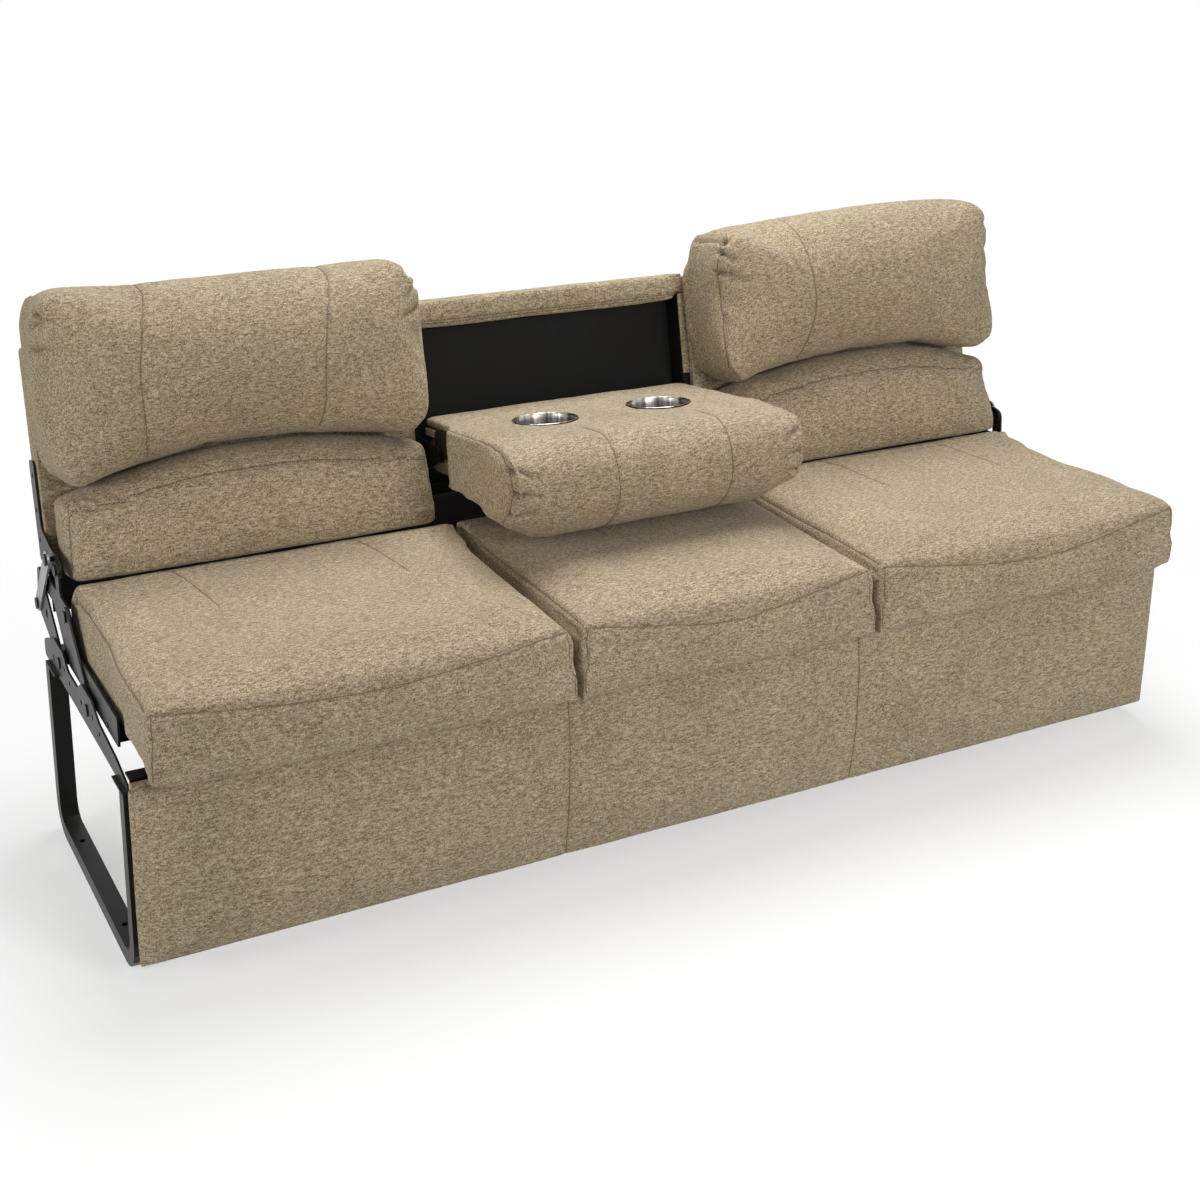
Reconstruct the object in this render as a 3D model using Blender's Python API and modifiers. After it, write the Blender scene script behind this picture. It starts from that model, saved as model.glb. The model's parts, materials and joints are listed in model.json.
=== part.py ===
"""Jackknife sofa: a bench seat and a folding back on a steel base, with a drop-down centre console.

The seat rides forward on two pairs of parallel arms, and a link from each rear arm lays the back flat
behind it. Lengths are metres, X runs across the sofa, Y runs back from the face of the front valance
and Z is up from the floor. Left is the -X end.
"""

import math

import bmesh
import bpy
from mathutils import Matrix, Vector

# Driving dimensions: the whole sofa
OVERALL_WIDTH = 1.760
CENTRE_WIDTH = 0.510
GAP = 0.0003
RUNNING_GAP = 0.0005
STEEL = 0.003
PLYWOOD = 0.012

# Driving dimensions: legs, side rails and valance
LEG_HEIGHT = 0.2707
LEG_TUBE_WIDTH = 0.026
LEG_TUBE_DEPTH = 0.022
LEG_BEND = 0.050
LEG_INSET = 0.002
BASE_DEPTH = 0.457
FLOOR_BOLT_HOLE = 0.0045
FLOOR_BOLT_INSET = 0.105
RAIL_TAB = 0.0065
RAIL_TAB_LENGTH = 0.060
RAIL_HOLE = 0.0042
RAIL_OVERHANG = 0.030
RAIL_HUMP = 0.028
RAIL_DIP = 0.010
CROSS_RAIL = 0.024
VALANCE_PAD = 0.020
VALANCE_CROWN = 0.003
VALANCE_BOTTOM = 0.027
VALANCE_HEIGHT = 0.274
VALANCE_MARGIN = 0.010
SEAM_WIDTH = 0.010
SEAM_DEPTH = 0.004

# Driving dimensions: the seat's arms and the links of the back
ARM_LENGTH = 0.150
ARM_LEAN = math.radians(52.0)
ARM_SPACING = 0.170
REAR_PIVOT_INSET = 0.070
PIVOT_RISE = 0.026
HUB = 0.014
PIN = 0.004
PIN_PLAY = 0.0004
RIVET_HEAD = 0.009
RIVET_THICK = 0.0022
LINK_HOLE = 0.0068
LINK_FOOT = (0.130, 0.045)
LINK_TOP = (0.0275, 0.0075)

# Driving dimensions: the seat
SEAT_LIFT = 0.0098
SEAT_FRAME_DEPTH = 0.400
SEAT_RAIL_HEIGHT = 0.046
SEAT_RAIL_DEPTH = 0.025
RUNNER_WIDTH = 0.030
CUSHION_EDGE = 0.049
CUSHION_CROWN = 0.012
CUSHION_FRONT = 0.038
CUSHION_FRONT_BULGE = 0.014
CUSHION_SKIRT = 0.027
CUSHION_REAR = 0.008
CUSHION_DRAW = 0.003
SECTION_GAP = 0.0016
BAND_RISE = 0.003
BAND_HEIGHT = 0.031
BAND_DEPTH = 0.044
BRACKET_FRONT = 0.100
BRACKET_HEIGHT = 0.042
BRACKET_NECK = 0.010

# Driving dimensions: the back, in its own frame from the hinge
BACK_LEAN = math.radians(12.0)
HINGE_RISE = 0.068
HINGE_SETBACK = 0.030
BACK_FOOT = 0.003
PAD_DROP = 0.020
PAD_CORNER = 0.020
LUMBAR_TOP = 0.1285
LUMBAR_EDGE = 0.012
LUMBAR_CROWN = 0.020
CREASE_ARCH = 0.032
CREASE_GAP = 0.002
PILLOW_TOP = 0.390
PILLOW_TOP_CROWN = 0.016
PILLOW_EDGE = 0.036
PILLOW_CROWN = 0.034
PILLOW_DRAW = 0.004
BOARD_FRONT = 0.078
STILE_WIDTH = 0.030
STILE_DEPTH = 0.040
BACK_HEIGHT = 0.318
BACK_RAIL = 0.030
BACK_BRACKET_HEIGHT = 0.150
TOP_PAD_HEIGHT = 0.041
TOP_PAD_COVER = 0.007
TOP_PAD_FRONT = 0.0845
WELL_PANEL = 0.006
REAR_PANEL = 0.003
JAMB_WIDTH = 0.020
SIDE_PAD_GAP = 0.0085

# Driving dimensions: the drop-down console and its cup holders, from the console's hinge
CONSOLE_LEAN = math.radians(8.0)
CONSOLE_HINGE = (0.0295, 0.080)
CONSOLE_SIDE_GAP = 0.012
CUP_FACE = 0.0535
CONSOLE_REAR = 0.064
CONSOLE_PANEL_FRONT = 0.166
CONSOLE_FRONT = 0.300
CONSOLE_FRONT_CROWN = 0.008
CONSOLE_PAD = 0.018
CONSOLE_LUMBAR_DEPTH = 0.042
CONSOLE_LUMBAR_CROWN = 0.018
CONSOLE_PILLOW_DEPTH = 0.086
CONSOLE_PILLOW_CROWN = 0.026
CONSOLE_ARM_LENGTH = 0.095
CUP_RIM = 0.0535
CUP_RIM_THICK = 0.0022
CUP_BODY = 0.0460
CUP_DEPTH = 0.070
CUP_WALL = 0.0015
CUP_CORNER = 0.008
CUP_SPACING = 0.206
CUP_FORWARD = 0.104

# Layers of the side mechanism, from the outside in
HALF_WIDTH = OVERALL_WIDTH / 2
LAYER = STEEL + RUNNING_GAP
LEG_OUTER = HALF_WIDTH - LEG_INSET
LEG_INNER = LEG_OUTER - LEG_TUBE_WIDTH
RAIL_OUTER = LEG_OUTER - RAIL_TAB
RAIL_INNER = RAIL_OUTER - STEEL
ARM_INNER = RAIL_INNER - LAYER
SEAT_BRACKET_INNER = ARM_INNER - LAYER
BACK_BRACKET_INNER = SEAT_BRACKET_INNER - LAYER
BACK_SIDE = BACK_BRACKET_INNER - GAP
CUSHION_SIDE = BACK_SIDE - GAP
SEAT_FRAME_HALF = CUSHION_SIDE - CUSHION_SKIRT
CENTRE_HALF = CENTRE_WIDTH / 2
WELD = STEEL / 3

# Levels of the base and the seat
BASE_FRONT = VALANCE_PAD + GAP + PLYWOOD + GAP
BASE_REAR = BASE_FRONT + BASE_DEPTH
RAIL_BOTTOM = LEG_HEIGHT + GAP
VALANCE_TOP = VALANCE_BOTTOM + VALANCE_HEIGHT
SEAT_BOTTOM = VALANCE_TOP + SEAT_LIFT
BRACKET_BOTTOM = SEAT_BOTTOM - GAP - STEEL
DECK_BOTTOM = SEAT_BOTTOM + SEAT_RAIL_HEIGHT + GAP
DECK_TOP = DECK_BOTTOM + PLYWOOD
BAND_BOTTOM = VALANCE_TOP + BAND_RISE
CUSHION_BOTTOM = BAND_BOTTOM + BAND_HEIGHT + GAP

# Pivots of the side mechanism, as (y, z)
REAR_PIVOT = Vector((BASE_REAR - REAR_PIVOT_INSET, RAIL_BOTTOM + PIVOT_RISE))
FRONT_PIVOT = REAR_PIVOT - Vector((ARM_SPACING, 0.0))
ARM_REACH = ARM_LENGTH * Vector((math.sin(ARM_LEAN), math.cos(ARM_LEAN)))
SEAT_REAR_PIN = REAR_PIVOT + ARM_REACH
SEAT_FRONT_PIN = FRONT_PIVOT + ARM_REACH
LINK_LOW_PIN = REAR_PIVOT + Vector(LINK_FOOT)
HINGE = Vector((SEAT_FRAME_DEPTH + HINGE_SETBACK, DECK_TOP + HINGE_RISE))
LINK_HIGH_PIN = HINGE + Vector(LINK_TOP)

# Depths of the back and widths of its centre well
BOARD_REAR = BOARD_FRONT + PLYWOOD
STILE_FRONT = BOARD_REAR + GAP
STILE_REAR = STILE_FRONT + STILE_DEPTH
SIDE_START = CENTRE_HALF + SIDE_PAD_GAP
CONSOLE_HALF = CENTRE_HALF - CONSOLE_SIDE_GAP
CONSOLE_ARM_INNER = CONSOLE_HALF + GAP
CONSOLE_BRACKET_INNER = CONSOLE_ARM_INNER + LAYER
JAMB_INNER = CONSOLE_BRACKET_INNER + STEEL + GAP
JAMB_OUTER = JAMB_INNER + JAMB_WIDTH
STILE_INNER = BACK_SIDE - STILE_WIDTH
TOP_RAIL_BOTTOM = BACK_HEIGHT - BACK_RAIL
CONSOLE_BOARD_BOTTOM = CUP_FACE - CONSOLE_PAD - GAP - PLYWOOD
CONSOLE_CREASE = LUMBAR_TOP + CREASE_GAP / 2 - CONSOLE_HINGE[1]

SIDES = (("left", -1), ("right", 1))
ROUND = 14
CUP_STEPS = 28

FINISHES = {
    "black_steel": ((0.018, 0.018, 0.019), 0.38, 0.9),
    "zinc_steel": ((0.30, 0.30, 0.31), 0.35, 1.0),
    "plywood": ((0.46, 0.33, 0.20), 0.62, 0.0),
    "pine": ((0.55, 0.40, 0.24), 0.65, 0.0),
    "black_panel": ((0.020, 0.020, 0.021), 0.55, 0.0),
    "tweed": ((0.50, 0.41, 0.31), 0.92, 0.0),
    "stainless": ((0.62, 0.61, 0.60), 0.28, 1.0),
}

# Plate outlines are drawn in a flat curve, whose X, Y and Z become the sofa's Y, Z and X
CURVE_TO_SIDE = Matrix(((0, 0, 1, 0), (1, 0, 0, 0), (0, 1, 0, 0), (0, 0, 0, 1)))


def new_collection(name):
    group = bpy.data.collections.new(name)
    bpy.context.scene.collection.children.link(group)
    return group


for old in list(bpy.data.objects):
    bpy.data.objects.remove(old, do_unlink=True)
SOFA = new_collection("jackknife_sofa")
CUTTERS = new_collection("cutters")


def pivot_empty(name, place, lean=0.0, parent=None):
    """An axis across the sofa at (y, z) of its parent's frame, leaning back by an angle."""
    empty = bpy.data.objects.new(name, None)
    empty.empty_display_size = 0.05
    empty.parent = parent
    empty.location = (0.0, *place)
    empty.rotation_euler = (-lean, 0.0, 0.0)
    SOFA.objects.link(empty)
    return empty


def finish_material(part, finish):
    colour, roughness, metallic = FINISHES[finish]
    material = bpy.data.materials.new(f"{part}_{finish}")
    material.use_nodes = True
    shader = material.node_tree.nodes["Principled BSDF"]
    shader.inputs["Base Color"].default_value = (*colour, 1.0)
    shader.inputs["Roughness"].default_value = roughness
    shader.inputs["Metallic"].default_value = metallic
    return material


def hang(thing, parent, drawn_from):
    """Parent a piece to a pivot; drawn_from is that pivot's (y, z) in the frame the piece is drawn in."""
    thing.parent = parent
    thing.location = (0.0, -drawn_from[0], -drawn_from[1])


def add_piece(name, mesh, finish, parent, drawn_from=(0.0, 0.0), joins=(), cuts=(), soft=False):
    """One named sub-part: smoothed if it is soft, with bodies welded on and cuts taken out."""
    piece = bpy.data.objects.new(name, mesh)
    SOFA.objects.link(piece)
    hang(piece, parent, drawn_from)
    mesh.materials.append(finish_material(name, finish))
    if soft:
        mesh.shade_smooth()
        smooth = piece.modifiers.new("soft form", "SUBSURF")
        smooth.levels = 1
        smooth.render_levels = 1
    for operation, tools in (("UNION", joins), ("DIFFERENCE", cuts)):
        for number, tool_mesh in enumerate(tools):
            tool = bpy.data.objects.new(f"{name}_{operation.lower()}_{number}", tool_mesh)
            CUTTERS.objects.link(tool)
            hang(tool, parent, drawn_from)
            tool.hide_render = True
            tool.display_type = "WIRE"
            step = piece.modifiers.new(tool.name, "BOOLEAN")
            step.operation = operation
            step.solver = "EXACT"
            step.object = tool
    return piece


def mesh_from(builder):
    mesh = bpy.data.meshes.new("shape")
    builder.to_mesh(mesh)
    builder.free()
    return mesh


def box(low, high, bevel=0.0):
    """A block between two corners, with its edges broken by a one-step bevel."""
    builder = bmesh.new()
    bmesh.ops.create_cube(builder, size=1.0)
    low, high = Vector(low), Vector(high)
    size = high - low
    for vert in builder.verts:
        vert.co = (low + high) / 2 + vert.co * size
    if bevel:
        edges = builder.edges[:]
        bmesh.ops.bevel(builder, geom=edges, offset=bevel, segments=1, affect="EDGES", profile=0.5)
    return mesh_from(builder)


def span(side, inner, outer):
    """The ordered x range of a layer at one end of the sofa."""
    return sorted((side * inner, side * outer))


def side_box(side, inner, outer, low, high, bevel=0.0):
    x_low, x_high = span(side, inner, outer)
    return box((x_low, *low), (x_high, *high), bevel)


def rod(start, end, centre, radius, upright=False, segments=ROUND):
    """A solid round bar along X, or along Z if upright; its centre is on the other two axes."""
    builder = bmesh.new()
    bmesh.ops.create_cone(
        builder, cap_ends=True, segments=segments, radius1=radius, radius2=radius, depth=end - start
    )
    middle = (start + end) / 2
    if upright:
        place = Matrix.Translation((*centre, middle))
    else:
        place = Matrix.Translation((middle, *centre)) @ Matrix.Rotation(math.pi / 2, 4, "Y")
    bmesh.ops.transform(builder, matrix=place, verts=builder.verts)
    return mesh_from(builder)


def rivet(side, plate_face, far_face, centre):
    """A pivot pin welded to a plate, through a part whose far face its head holds."""
    head = far_face + RUNNING_GAP
    shank = rod(*span(side, plate_face - WELD, head + RIVET_THICK / 2), centre, PIN)
    cap = rod(*span(side, head, head + RIVET_THICK), centre, RIVET_HEAD)
    return [shank, cap]


def rounded(corners, steps=3):
    """A closed outline through (y, z, radius) corners, each one a fillet arc."""
    points = []
    for index, (y, z, radius) in enumerate(corners):
        here = Vector((y, z))
        if not radius:
            points.append(here)
            continue
        before = Vector(corners[index - 1][:2]) - here
        after = Vector(corners[(index + 1) % len(corners)][:2]) - here
        reach_before, reach_after = before.length, after.length
        before.normalize()
        after.normalize()
        half_angle = before.angle(after) / 2
        room = min(reach_before, reach_after) * math.tan(half_angle)
        radius = min(radius, 0.49 * room)
        centre = here + (before + after).normalized() * radius / math.sin(half_angle)
        start = here + before * radius / math.tan(half_angle) - centre
        end = here + after * radius / math.tan(half_angle) - centre
        first = math.atan2(start.y, start.x)
        sweep = math.remainder(math.atan2(end.y, end.x) - first, 2 * math.pi)
        for step in range(steps + 1):
            angle = first + sweep * step / steps
            points.append(centre + radius * Vector((math.cos(angle), math.sin(angle))))
    return points


def ring(centre, radius, segments=ROUND):
    angles = [2 * math.pi * step / segments for step in range(segments)]
    return [(centre[0] + radius * math.cos(a), centre[1] + radius * math.sin(a)) for a in angles]


def belt(circles):
    """The outline of a belt pulled tight round (centre, radius) circles."""
    cloud = sorted(point for centre, radius in circles for point in ring(centre, radius, 20))

    def half(points):
        chain = []
        for point in points:
            while len(chain) > 1 and left_turn(chain[-2], chain[-1], point) <= 1e-9:
                chain.pop()
            chain.append(point)
        return chain[:-1]

    return half(cloud) + half(cloud[::-1])


def left_turn(a, b, c):
    return (b[0] - a[0]) * (c[1] - a[1]) - (b[1] - a[1]) * (c[0] - a[0])


def plate(side, inner, outer, outline, holes=()):
    """A plate in a layer at one end of the sofa, from an outline in (y, z) and the loops of its holes."""
    x_low, x_high = span(side, inner, outer)
    curve = bpy.data.curves.new("outline", "CURVE")
    curve.dimensions = "2D"
    curve.fill_mode = "BOTH"
    curve.extrude = (x_high - x_low) / 2
    for loop in (outline, *holes):
        spline = curve.splines.new("POLY")
        spline.points.add(len(loop) - 1)
        spline.use_cyclic_u = True
        for point, (y, z) in zip(spline.points, loop):
            point.co = (y, z, 0.0, 1.0)
    drawn = bpy.data.objects.new("outline", curve)
    CUTTERS.objects.link(drawn)
    evaluated = drawn.evaluated_get(bpy.context.evaluated_depsgraph_get())
    solid = bpy.data.meshes.new_from_object(evaluated)
    bpy.data.objects.remove(drawn, do_unlink=True)
    builder = bmesh.new()
    builder.from_mesh(solid)
    bmesh.ops.remove_doubles(builder, verts=builder.verts, dist=0.00001)
    middle = Matrix.Translation(((x_low + x_high) / 2, 0.0, 0.0))
    bmesh.ops.transform(builder, matrix=middle @ CURVE_TO_SIDE, verts=builder.verts)
    bmesh.ops.recalc_face_normals(builder, faces=builder.faces)
    builder.to_mesh(solid)
    builder.free()
    return solid


def channel(half_length, web, lip, z_low, z_high):
    """A pressed steel channel along X: its web is at y = web and its flanges reach to y = lip."""
    inside = web + math.copysign(STEEL, lip - web)
    outline = [
        (web, z_low),
        (lip, z_low),
        (lip, z_low + STEEL),
        (inside, z_low + STEEL),
        (inside, z_high - STEEL),
        (lip, z_high - STEEL),
        (lip, z_high),
        (web, z_high),
    ]
    return plate(1, -half_length, half_length, outline)


def even(low, high, cells):
    return [low + (high - low) * step / cells for step in range(cells + 1)]


def cage(xs, ys, zs, bulges, arch=(0.0, 0.0), seams=()):
    """The coarse cage of a padded form, on stations along X, Y and Z.

    bulges says how far the middle of a face stands out, as {"-y": metres}; a negative value draws the
    face in. arch lifts the bottom and the top in the middle of the width. seams are x stations where
    the front is sewn down.
    """
    stations = (xs, ys, zs)
    builder = bmesh.new()
    bmesh.ops.create_cube(builder, size=2.0)
    for axis, places in enumerate(stations):
        others = [k for k in range(3) if k != axis]
        along = [e for e in builder.edges if all(flat(e, k) for k in others)]
        if len(places) > 2:
            bmesh.ops.subdivide_edges(builder, edges=along, cuts=len(places) - 2, use_grid_fill=True)
    for vert in builder.verts:
        index = [round((vert.co[k] + 1) / 2 * (len(stations[k]) - 1)) for k in range(3)]
        place = [stations[k][index[k]] for k in range(3)]
        share = [2 * (place[k] - stations[k][0]) / (stations[k][-1] - stations[k][0]) - 1 for k in range(3)]
        for face, reach in bulges.items():
            axis = "xyz".index(face[1])
            sign = 1 if face[0] == "+" else -1
            if abs(share[axis] - sign) < 1e-6:
                place[axis] += sign * reach * math.prod(1 - share[k] ** 2 for k in range(3) if k != axis)
        rise = arch[0] + (arch[1] - arch[0]) * (share[2] + 1) / 2
        place[2] += rise * (1 - share[0] ** 2)
        if xs[index[0]] in seams and index[1] == 0:
            place[1] += SEAM_DEPTH
        vert.co = place
    return mesh_from(builder)


def flat(edge, axis):
    return abs(edge.verts[0].co[axis] - edge.verts[1].co[axis]) < 1e-6


def build_base(base):
    for name, side in SIDES:
        add_leg_loop(name, side, base)
        add_side_rail(name, side, base)
    top = RAIL_BOTTOM + CROSS_RAIL
    half = RAIL_INNER - GAP
    front = channel(half, BASE_FRONT, BASE_FRONT + CROSS_RAIL, RAIL_BOTTOM, top)
    add_piece("front_cross_rail", front, "black_steel", base)
    rear = channel(half, BASE_REAR, BASE_REAR - CROSS_RAIL, RAIL_BOTTOM, top)
    add_piece("rear_cross_rail", rear, "black_steel", base)
    board_half = HALF_WIDTH - VALANCE_MARGIN
    board = box(
        (-board_half, VALANCE_PAD + GAP, VALANCE_BOTTOM + VALANCE_MARGIN),
        (board_half, VALANCE_PAD + GAP + PLYWOOD, VALANCE_TOP - VALANCE_MARGIN),
        bevel=0.001,
    )
    add_piece("valance_board", board, "plywood", base)
    seams = [-CENTRE_HALF, CENTRE_HALF]
    corner = HALF_WIDTH - SEAM_WIDTH
    xs = [-HALF_WIDTH, -corner, -CENTRE_HALF - SEAM_WIDTH, seams[0], -CENTRE_HALF + SEAM_WIDTH]
    xs += [-x for x in reversed(xs)]
    zs = [VALANCE_BOTTOM, VALANCE_BOTTOM + SEAM_WIDTH, VALANCE_TOP - SEAM_WIDTH, VALANCE_TOP]
    pad = cage(xs, [VALANCE_CROWN, VALANCE_PAD], zs, {"-y": VALANCE_CROWN}, seams=seams)
    add_piece("valance_pad", pad, "tweed", base, soft=True)


def add_leg_loop(name, side, base):
    """A flat tube bent into a rear leg, a foot along the floor and a front leg, drilled for floor bolts."""
    front, rear, tube, top = BASE_FRONT, BASE_REAR, LEG_TUBE_DEPTH, LEG_HEIGHT
    inner_bend = LEG_BEND - tube
    corners = [(front, top, 0), (front, 0.0, LEG_BEND), (rear, 0.0, LEG_BEND), (rear, top, 0)]
    corners += [(rear - tube, top, 0), (rear - tube, tube, inner_bend)]
    corners += [(front + tube, tube, inner_bend), (front + tube, top, 0)]
    loop = plate(side, LEG_INNER, LEG_OUTER, rounded(corners, steps=5))
    middle = side * (LEG_INNER + LEG_OUTER) / 2
    bolts = [
        rod(-tube, 2 * tube, (middle, y), FLOOR_BOLT_HOLE, upright=True)
        for y in (front + FLOOR_BOLT_INSET, rear - FLOOR_BOLT_INSET)
    ]
    add_piece(f"{name}_leg_loop", loop, "black_steel", base, cuts=bolts)


def add_side_rail(name, side, base):
    """The pressed side plate: two humps round the arm pivots, tabs on the legs and slotted punchings."""
    foot, pivot_z = RAIL_BOTTOM, REAR_PIVOT.y
    hump, dip = pivot_z + RAIL_HUMP, pivot_z + RAIL_DIP
    rear_y, front_y = REAR_PIVOT.x, FRONT_PIVOT.x
    waist = ARM_SPACING / 3
    corners = [
        (BASE_FRONT, foot, 0),
        (BASE_REAR + RAIL_OVERHANG, foot, HUB / 2),
        (BASE_REAR + RAIL_OVERHANG, foot + PIVOT_RISE, HUB),
        (rear_y + 2 * HUB, hump, HUB),
        (rear_y - 2 * HUB, hump, HUB),
        (rear_y - waist, dip, HUB),
        (front_y + waist, dip, HUB),
        (front_y + 2 * HUB, hump, HUB),
        (front_y - 2 * HUB, hump, HUB),
        (front_y - waist - HUB, dip, HUB),
        (BASE_FRONT + RAIL_TAB_LENGTH, dip - PIVOT_RISE / 3, HUB),
        (BASE_FRONT, foot + PIVOT_RISE / 2, HUB / 2),
    ]
    spots = [
        (rear_y + 2.6 * HUB, pivot_z - 0.6 * RAIL_DIP),
        (rear_y - 2.4 * HUB, pivot_z + 0.5 * RAIL_DIP),
        (rear_y - waist - HUB / 2, pivot_z - 0.5 * RAIL_DIP),
        (front_y + 2.4 * HUB, pivot_z - 0.3 * RAIL_DIP),
        (front_y - 2.4 * HUB, pivot_z + 0.4 * RAIL_DIP),
        (front_y - waist - HUB, pivot_z - 0.4 * RAIL_DIP),
    ]
    rail = plate(side, RAIL_INNER, RAIL_OUTER, rounded(corners), [ring(s, RAIL_HOLE, 10) for s in spots])
    welds = []
    for start in (BASE_FRONT + GAP, BASE_REAR - RAIL_TAB_LENGTH - GAP):
        low = (start, RAIL_BOTTOM + GAP)
        high = (start + RAIL_TAB_LENGTH, RAIL_BOTTOM + STEEL)
        welds.append(side_box(side, RAIL_OUTER - WELD, LEG_OUTER, low, high))
    for pivot in (REAR_PIVOT, FRONT_PIVOT):
        welds.append(rod(*span(side, ARM_INNER, RAIL_INNER + WELD), pivot, PIN))
        welds.append(rod(*span(side, RAIL_OUTER - WELD, RAIL_OUTER + RIVET_THICK), pivot, RIVET_HEAD))
    add_piece(f"{name}_side_rail", rail, "black_steel", base, joins=welds)


def build_arms(front_pivot, rear_pivot, link_pivot):
    bore = PIN + PIN_PLAY
    for name, side in SIDES:
        outline = belt([(FRONT_PIVOT, HUB), (SEAT_FRONT_PIN, HUB)])
        holes = [ring(FRONT_PIVOT, bore), ring(SEAT_FRONT_PIN, bore)]
        front = plate(side, ARM_INNER, ARM_INNER + STEEL, outline, holes)
        add_piece(f"{name}_front_arm", front, "black_steel", front_pivot, FRONT_PIVOT)

        outline = belt([(REAR_PIVOT, HUB), (SEAT_REAR_PIN, HUB), (LINK_LOW_PIN, HUB)])
        window = (REAR_PIVOT + SEAT_REAR_PIN + LINK_LOW_PIN) / 3
        holes = [ring(REAR_PIVOT, bore), ring(SEAT_REAR_PIN, bore), ring(window, HUB / 2)]
        rear = plate(side, ARM_INNER, ARM_INNER + STEEL, outline, holes)
        pin = rivet(side, ARM_INNER + STEEL, RAIL_OUTER, LINK_LOW_PIN)
        add_piece(f"{name}_rear_arm", rear, "black_steel", rear_pivot, REAR_PIVOT, joins=pin)

        outline = belt([(LINK_LOW_PIN, HUB - PIN / 2), (LINK_HIGH_PIN, HUB)])
        holes = [ring(LINK_LOW_PIN, bore), ring(LINK_HIGH_PIN, LINK_HOLE)]
        link = plate(side, RAIL_INNER, RAIL_OUTER, outline, holes)
        add_piece(f"{name}_back_link", link, "zinc_steel", link_pivot, LINK_LOW_PIN)


def build_seat(seat):
    for name, side in SIDES:
        add_seat_bracket(name, side, seat)
        low = (SEAT_RAIL_DEPTH + GAP, SEAT_BOTTOM)
        high = (SEAT_FRAME_DEPTH - SEAT_RAIL_DEPTH - GAP, SEAT_BOTTOM + SEAT_RAIL_HEIGHT)
        runner = side_box(side, SEAT_FRAME_HALF - RUNNER_WIDTH, SEAT_FRAME_HALF, low, high, 0.002)
        add_piece(f"{name}_seat_end_rail", runner, "black_steel", seat, SEAT_FRONT_PIN)
        middle = CENTRE_HALF - RUNNER_WIDTH / 2
        stretcher = side_box(side, middle, middle + RUNNER_WIDTH, low, high, 0.002)
        add_piece(f"{name}_seat_stretcher", stretcher, "black_steel", seat, SEAT_FRONT_PIN)
    top = SEAT_BOTTOM + SEAT_RAIL_HEIGHT
    front = channel(SEAT_FRAME_HALF, 0.0, SEAT_RAIL_DEPTH, SEAT_BOTTOM, top)
    add_piece("seat_front_rail", front, "black_steel", seat, SEAT_FRONT_PIN)
    rear = channel(SEAT_FRAME_HALF, SEAT_FRAME_DEPTH, SEAT_FRAME_DEPTH - SEAT_RAIL_DEPTH, SEAT_BOTTOM, top)
    add_piece("seat_rear_rail", rear, "black_steel", seat, SEAT_FRONT_PIN)
    deck = box(
        (-SEAT_FRAME_HALF, 0.0, DECK_BOTTOM), (SEAT_FRAME_HALF, SEAT_FRAME_DEPTH, DECK_TOP), bevel=0.001
    )
    add_piece("seat_deck", deck, "plywood", seat, SEAT_FRONT_PIN)
    add_seat_cushions(seat)


def add_seat_bracket(name, side, seat):
    """The plate that carries the seat frame on its flange, the arms on two pins and the back's hinge.

    The rear pin ends flush with the arm, because the back's link sweeps past it.
    """
    foot = BRACKET_BOTTOM
    rear, front = SEAT_REAR_PIN, SEAT_FRONT_PIN
    shoulder = foot + BRACKET_HEIGHT
    tail_low = rear.y - HUB
    tail_top = rear.y + HUB
    frame_rear = SEAT_FRAME_DEPTH - SEAT_RAIL_DEPTH / 2
    corners = [
        (BRACKET_FRONT, foot, HUB / 4),
        (frame_rear, foot, HUB),
        (HINGE.x + HINGE_SETBACK, tail_low, HUB),
        (rear.x + HUB, tail_low, 0.99 * HUB),
        (rear.x + HUB, tail_top, 0.99 * HUB),
        (HINGE.x + HUB - BRACKET_NECK, tail_top, PIN),
        (HINGE.x + HUB, HINGE.y + HUB, 0.99 * HUB),
        (HINGE.x - HUB, HINGE.y + HUB, 0.99 * HUB),
        (HINGE.x - HUB - PIN, tail_top, PIN),
        (front.x - HUB, tail_top, 0.99 * HUB),
        (front.x - HUB, front.y - HUB, PIN),
        (front.x - 2 * HUB, shoulder, HUB / 2),
        (BRACKET_FRONT, shoulder, HUB / 4),
    ]
    rows = zip(even(BRACKET_FRONT, front.x, 5)[1:-1], even(foot, shoulder, 5)[1:-1])
    slots = [ring(spot, RAIL_HOLE, 10) for spot in rows]
    outline = rounded(corners)
    holes = [ring(HINGE, PIN + PIN_PLAY), *slots]
    bracket = plate(side, SEAT_BRACKET_INNER, SEAT_BRACKET_INNER + STEEL, outline, holes)
    low = (BRACKET_FRONT + HUB, foot + GAP)
    high = (frame_rear - HUB, foot + STEEL)
    inner = SEAT_FRAME_HALF - RUNNER_WIDTH
    face, arm_face = SEAT_BRACKET_INNER + STEEL, ARM_INNER + STEEL
    welds = rivet(side, face, arm_face, front)
    welds.append(rod(*span(side, face - WELD, arm_face), rear, PIN))
    welds.append(side_box(side, inner, SEAT_BRACKET_INNER + WELD, low, high))
    add_piece(f"{name}_seat_bracket", bracket, "black_steel", seat, SEAT_FRONT_PIN, joins=welds)


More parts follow.
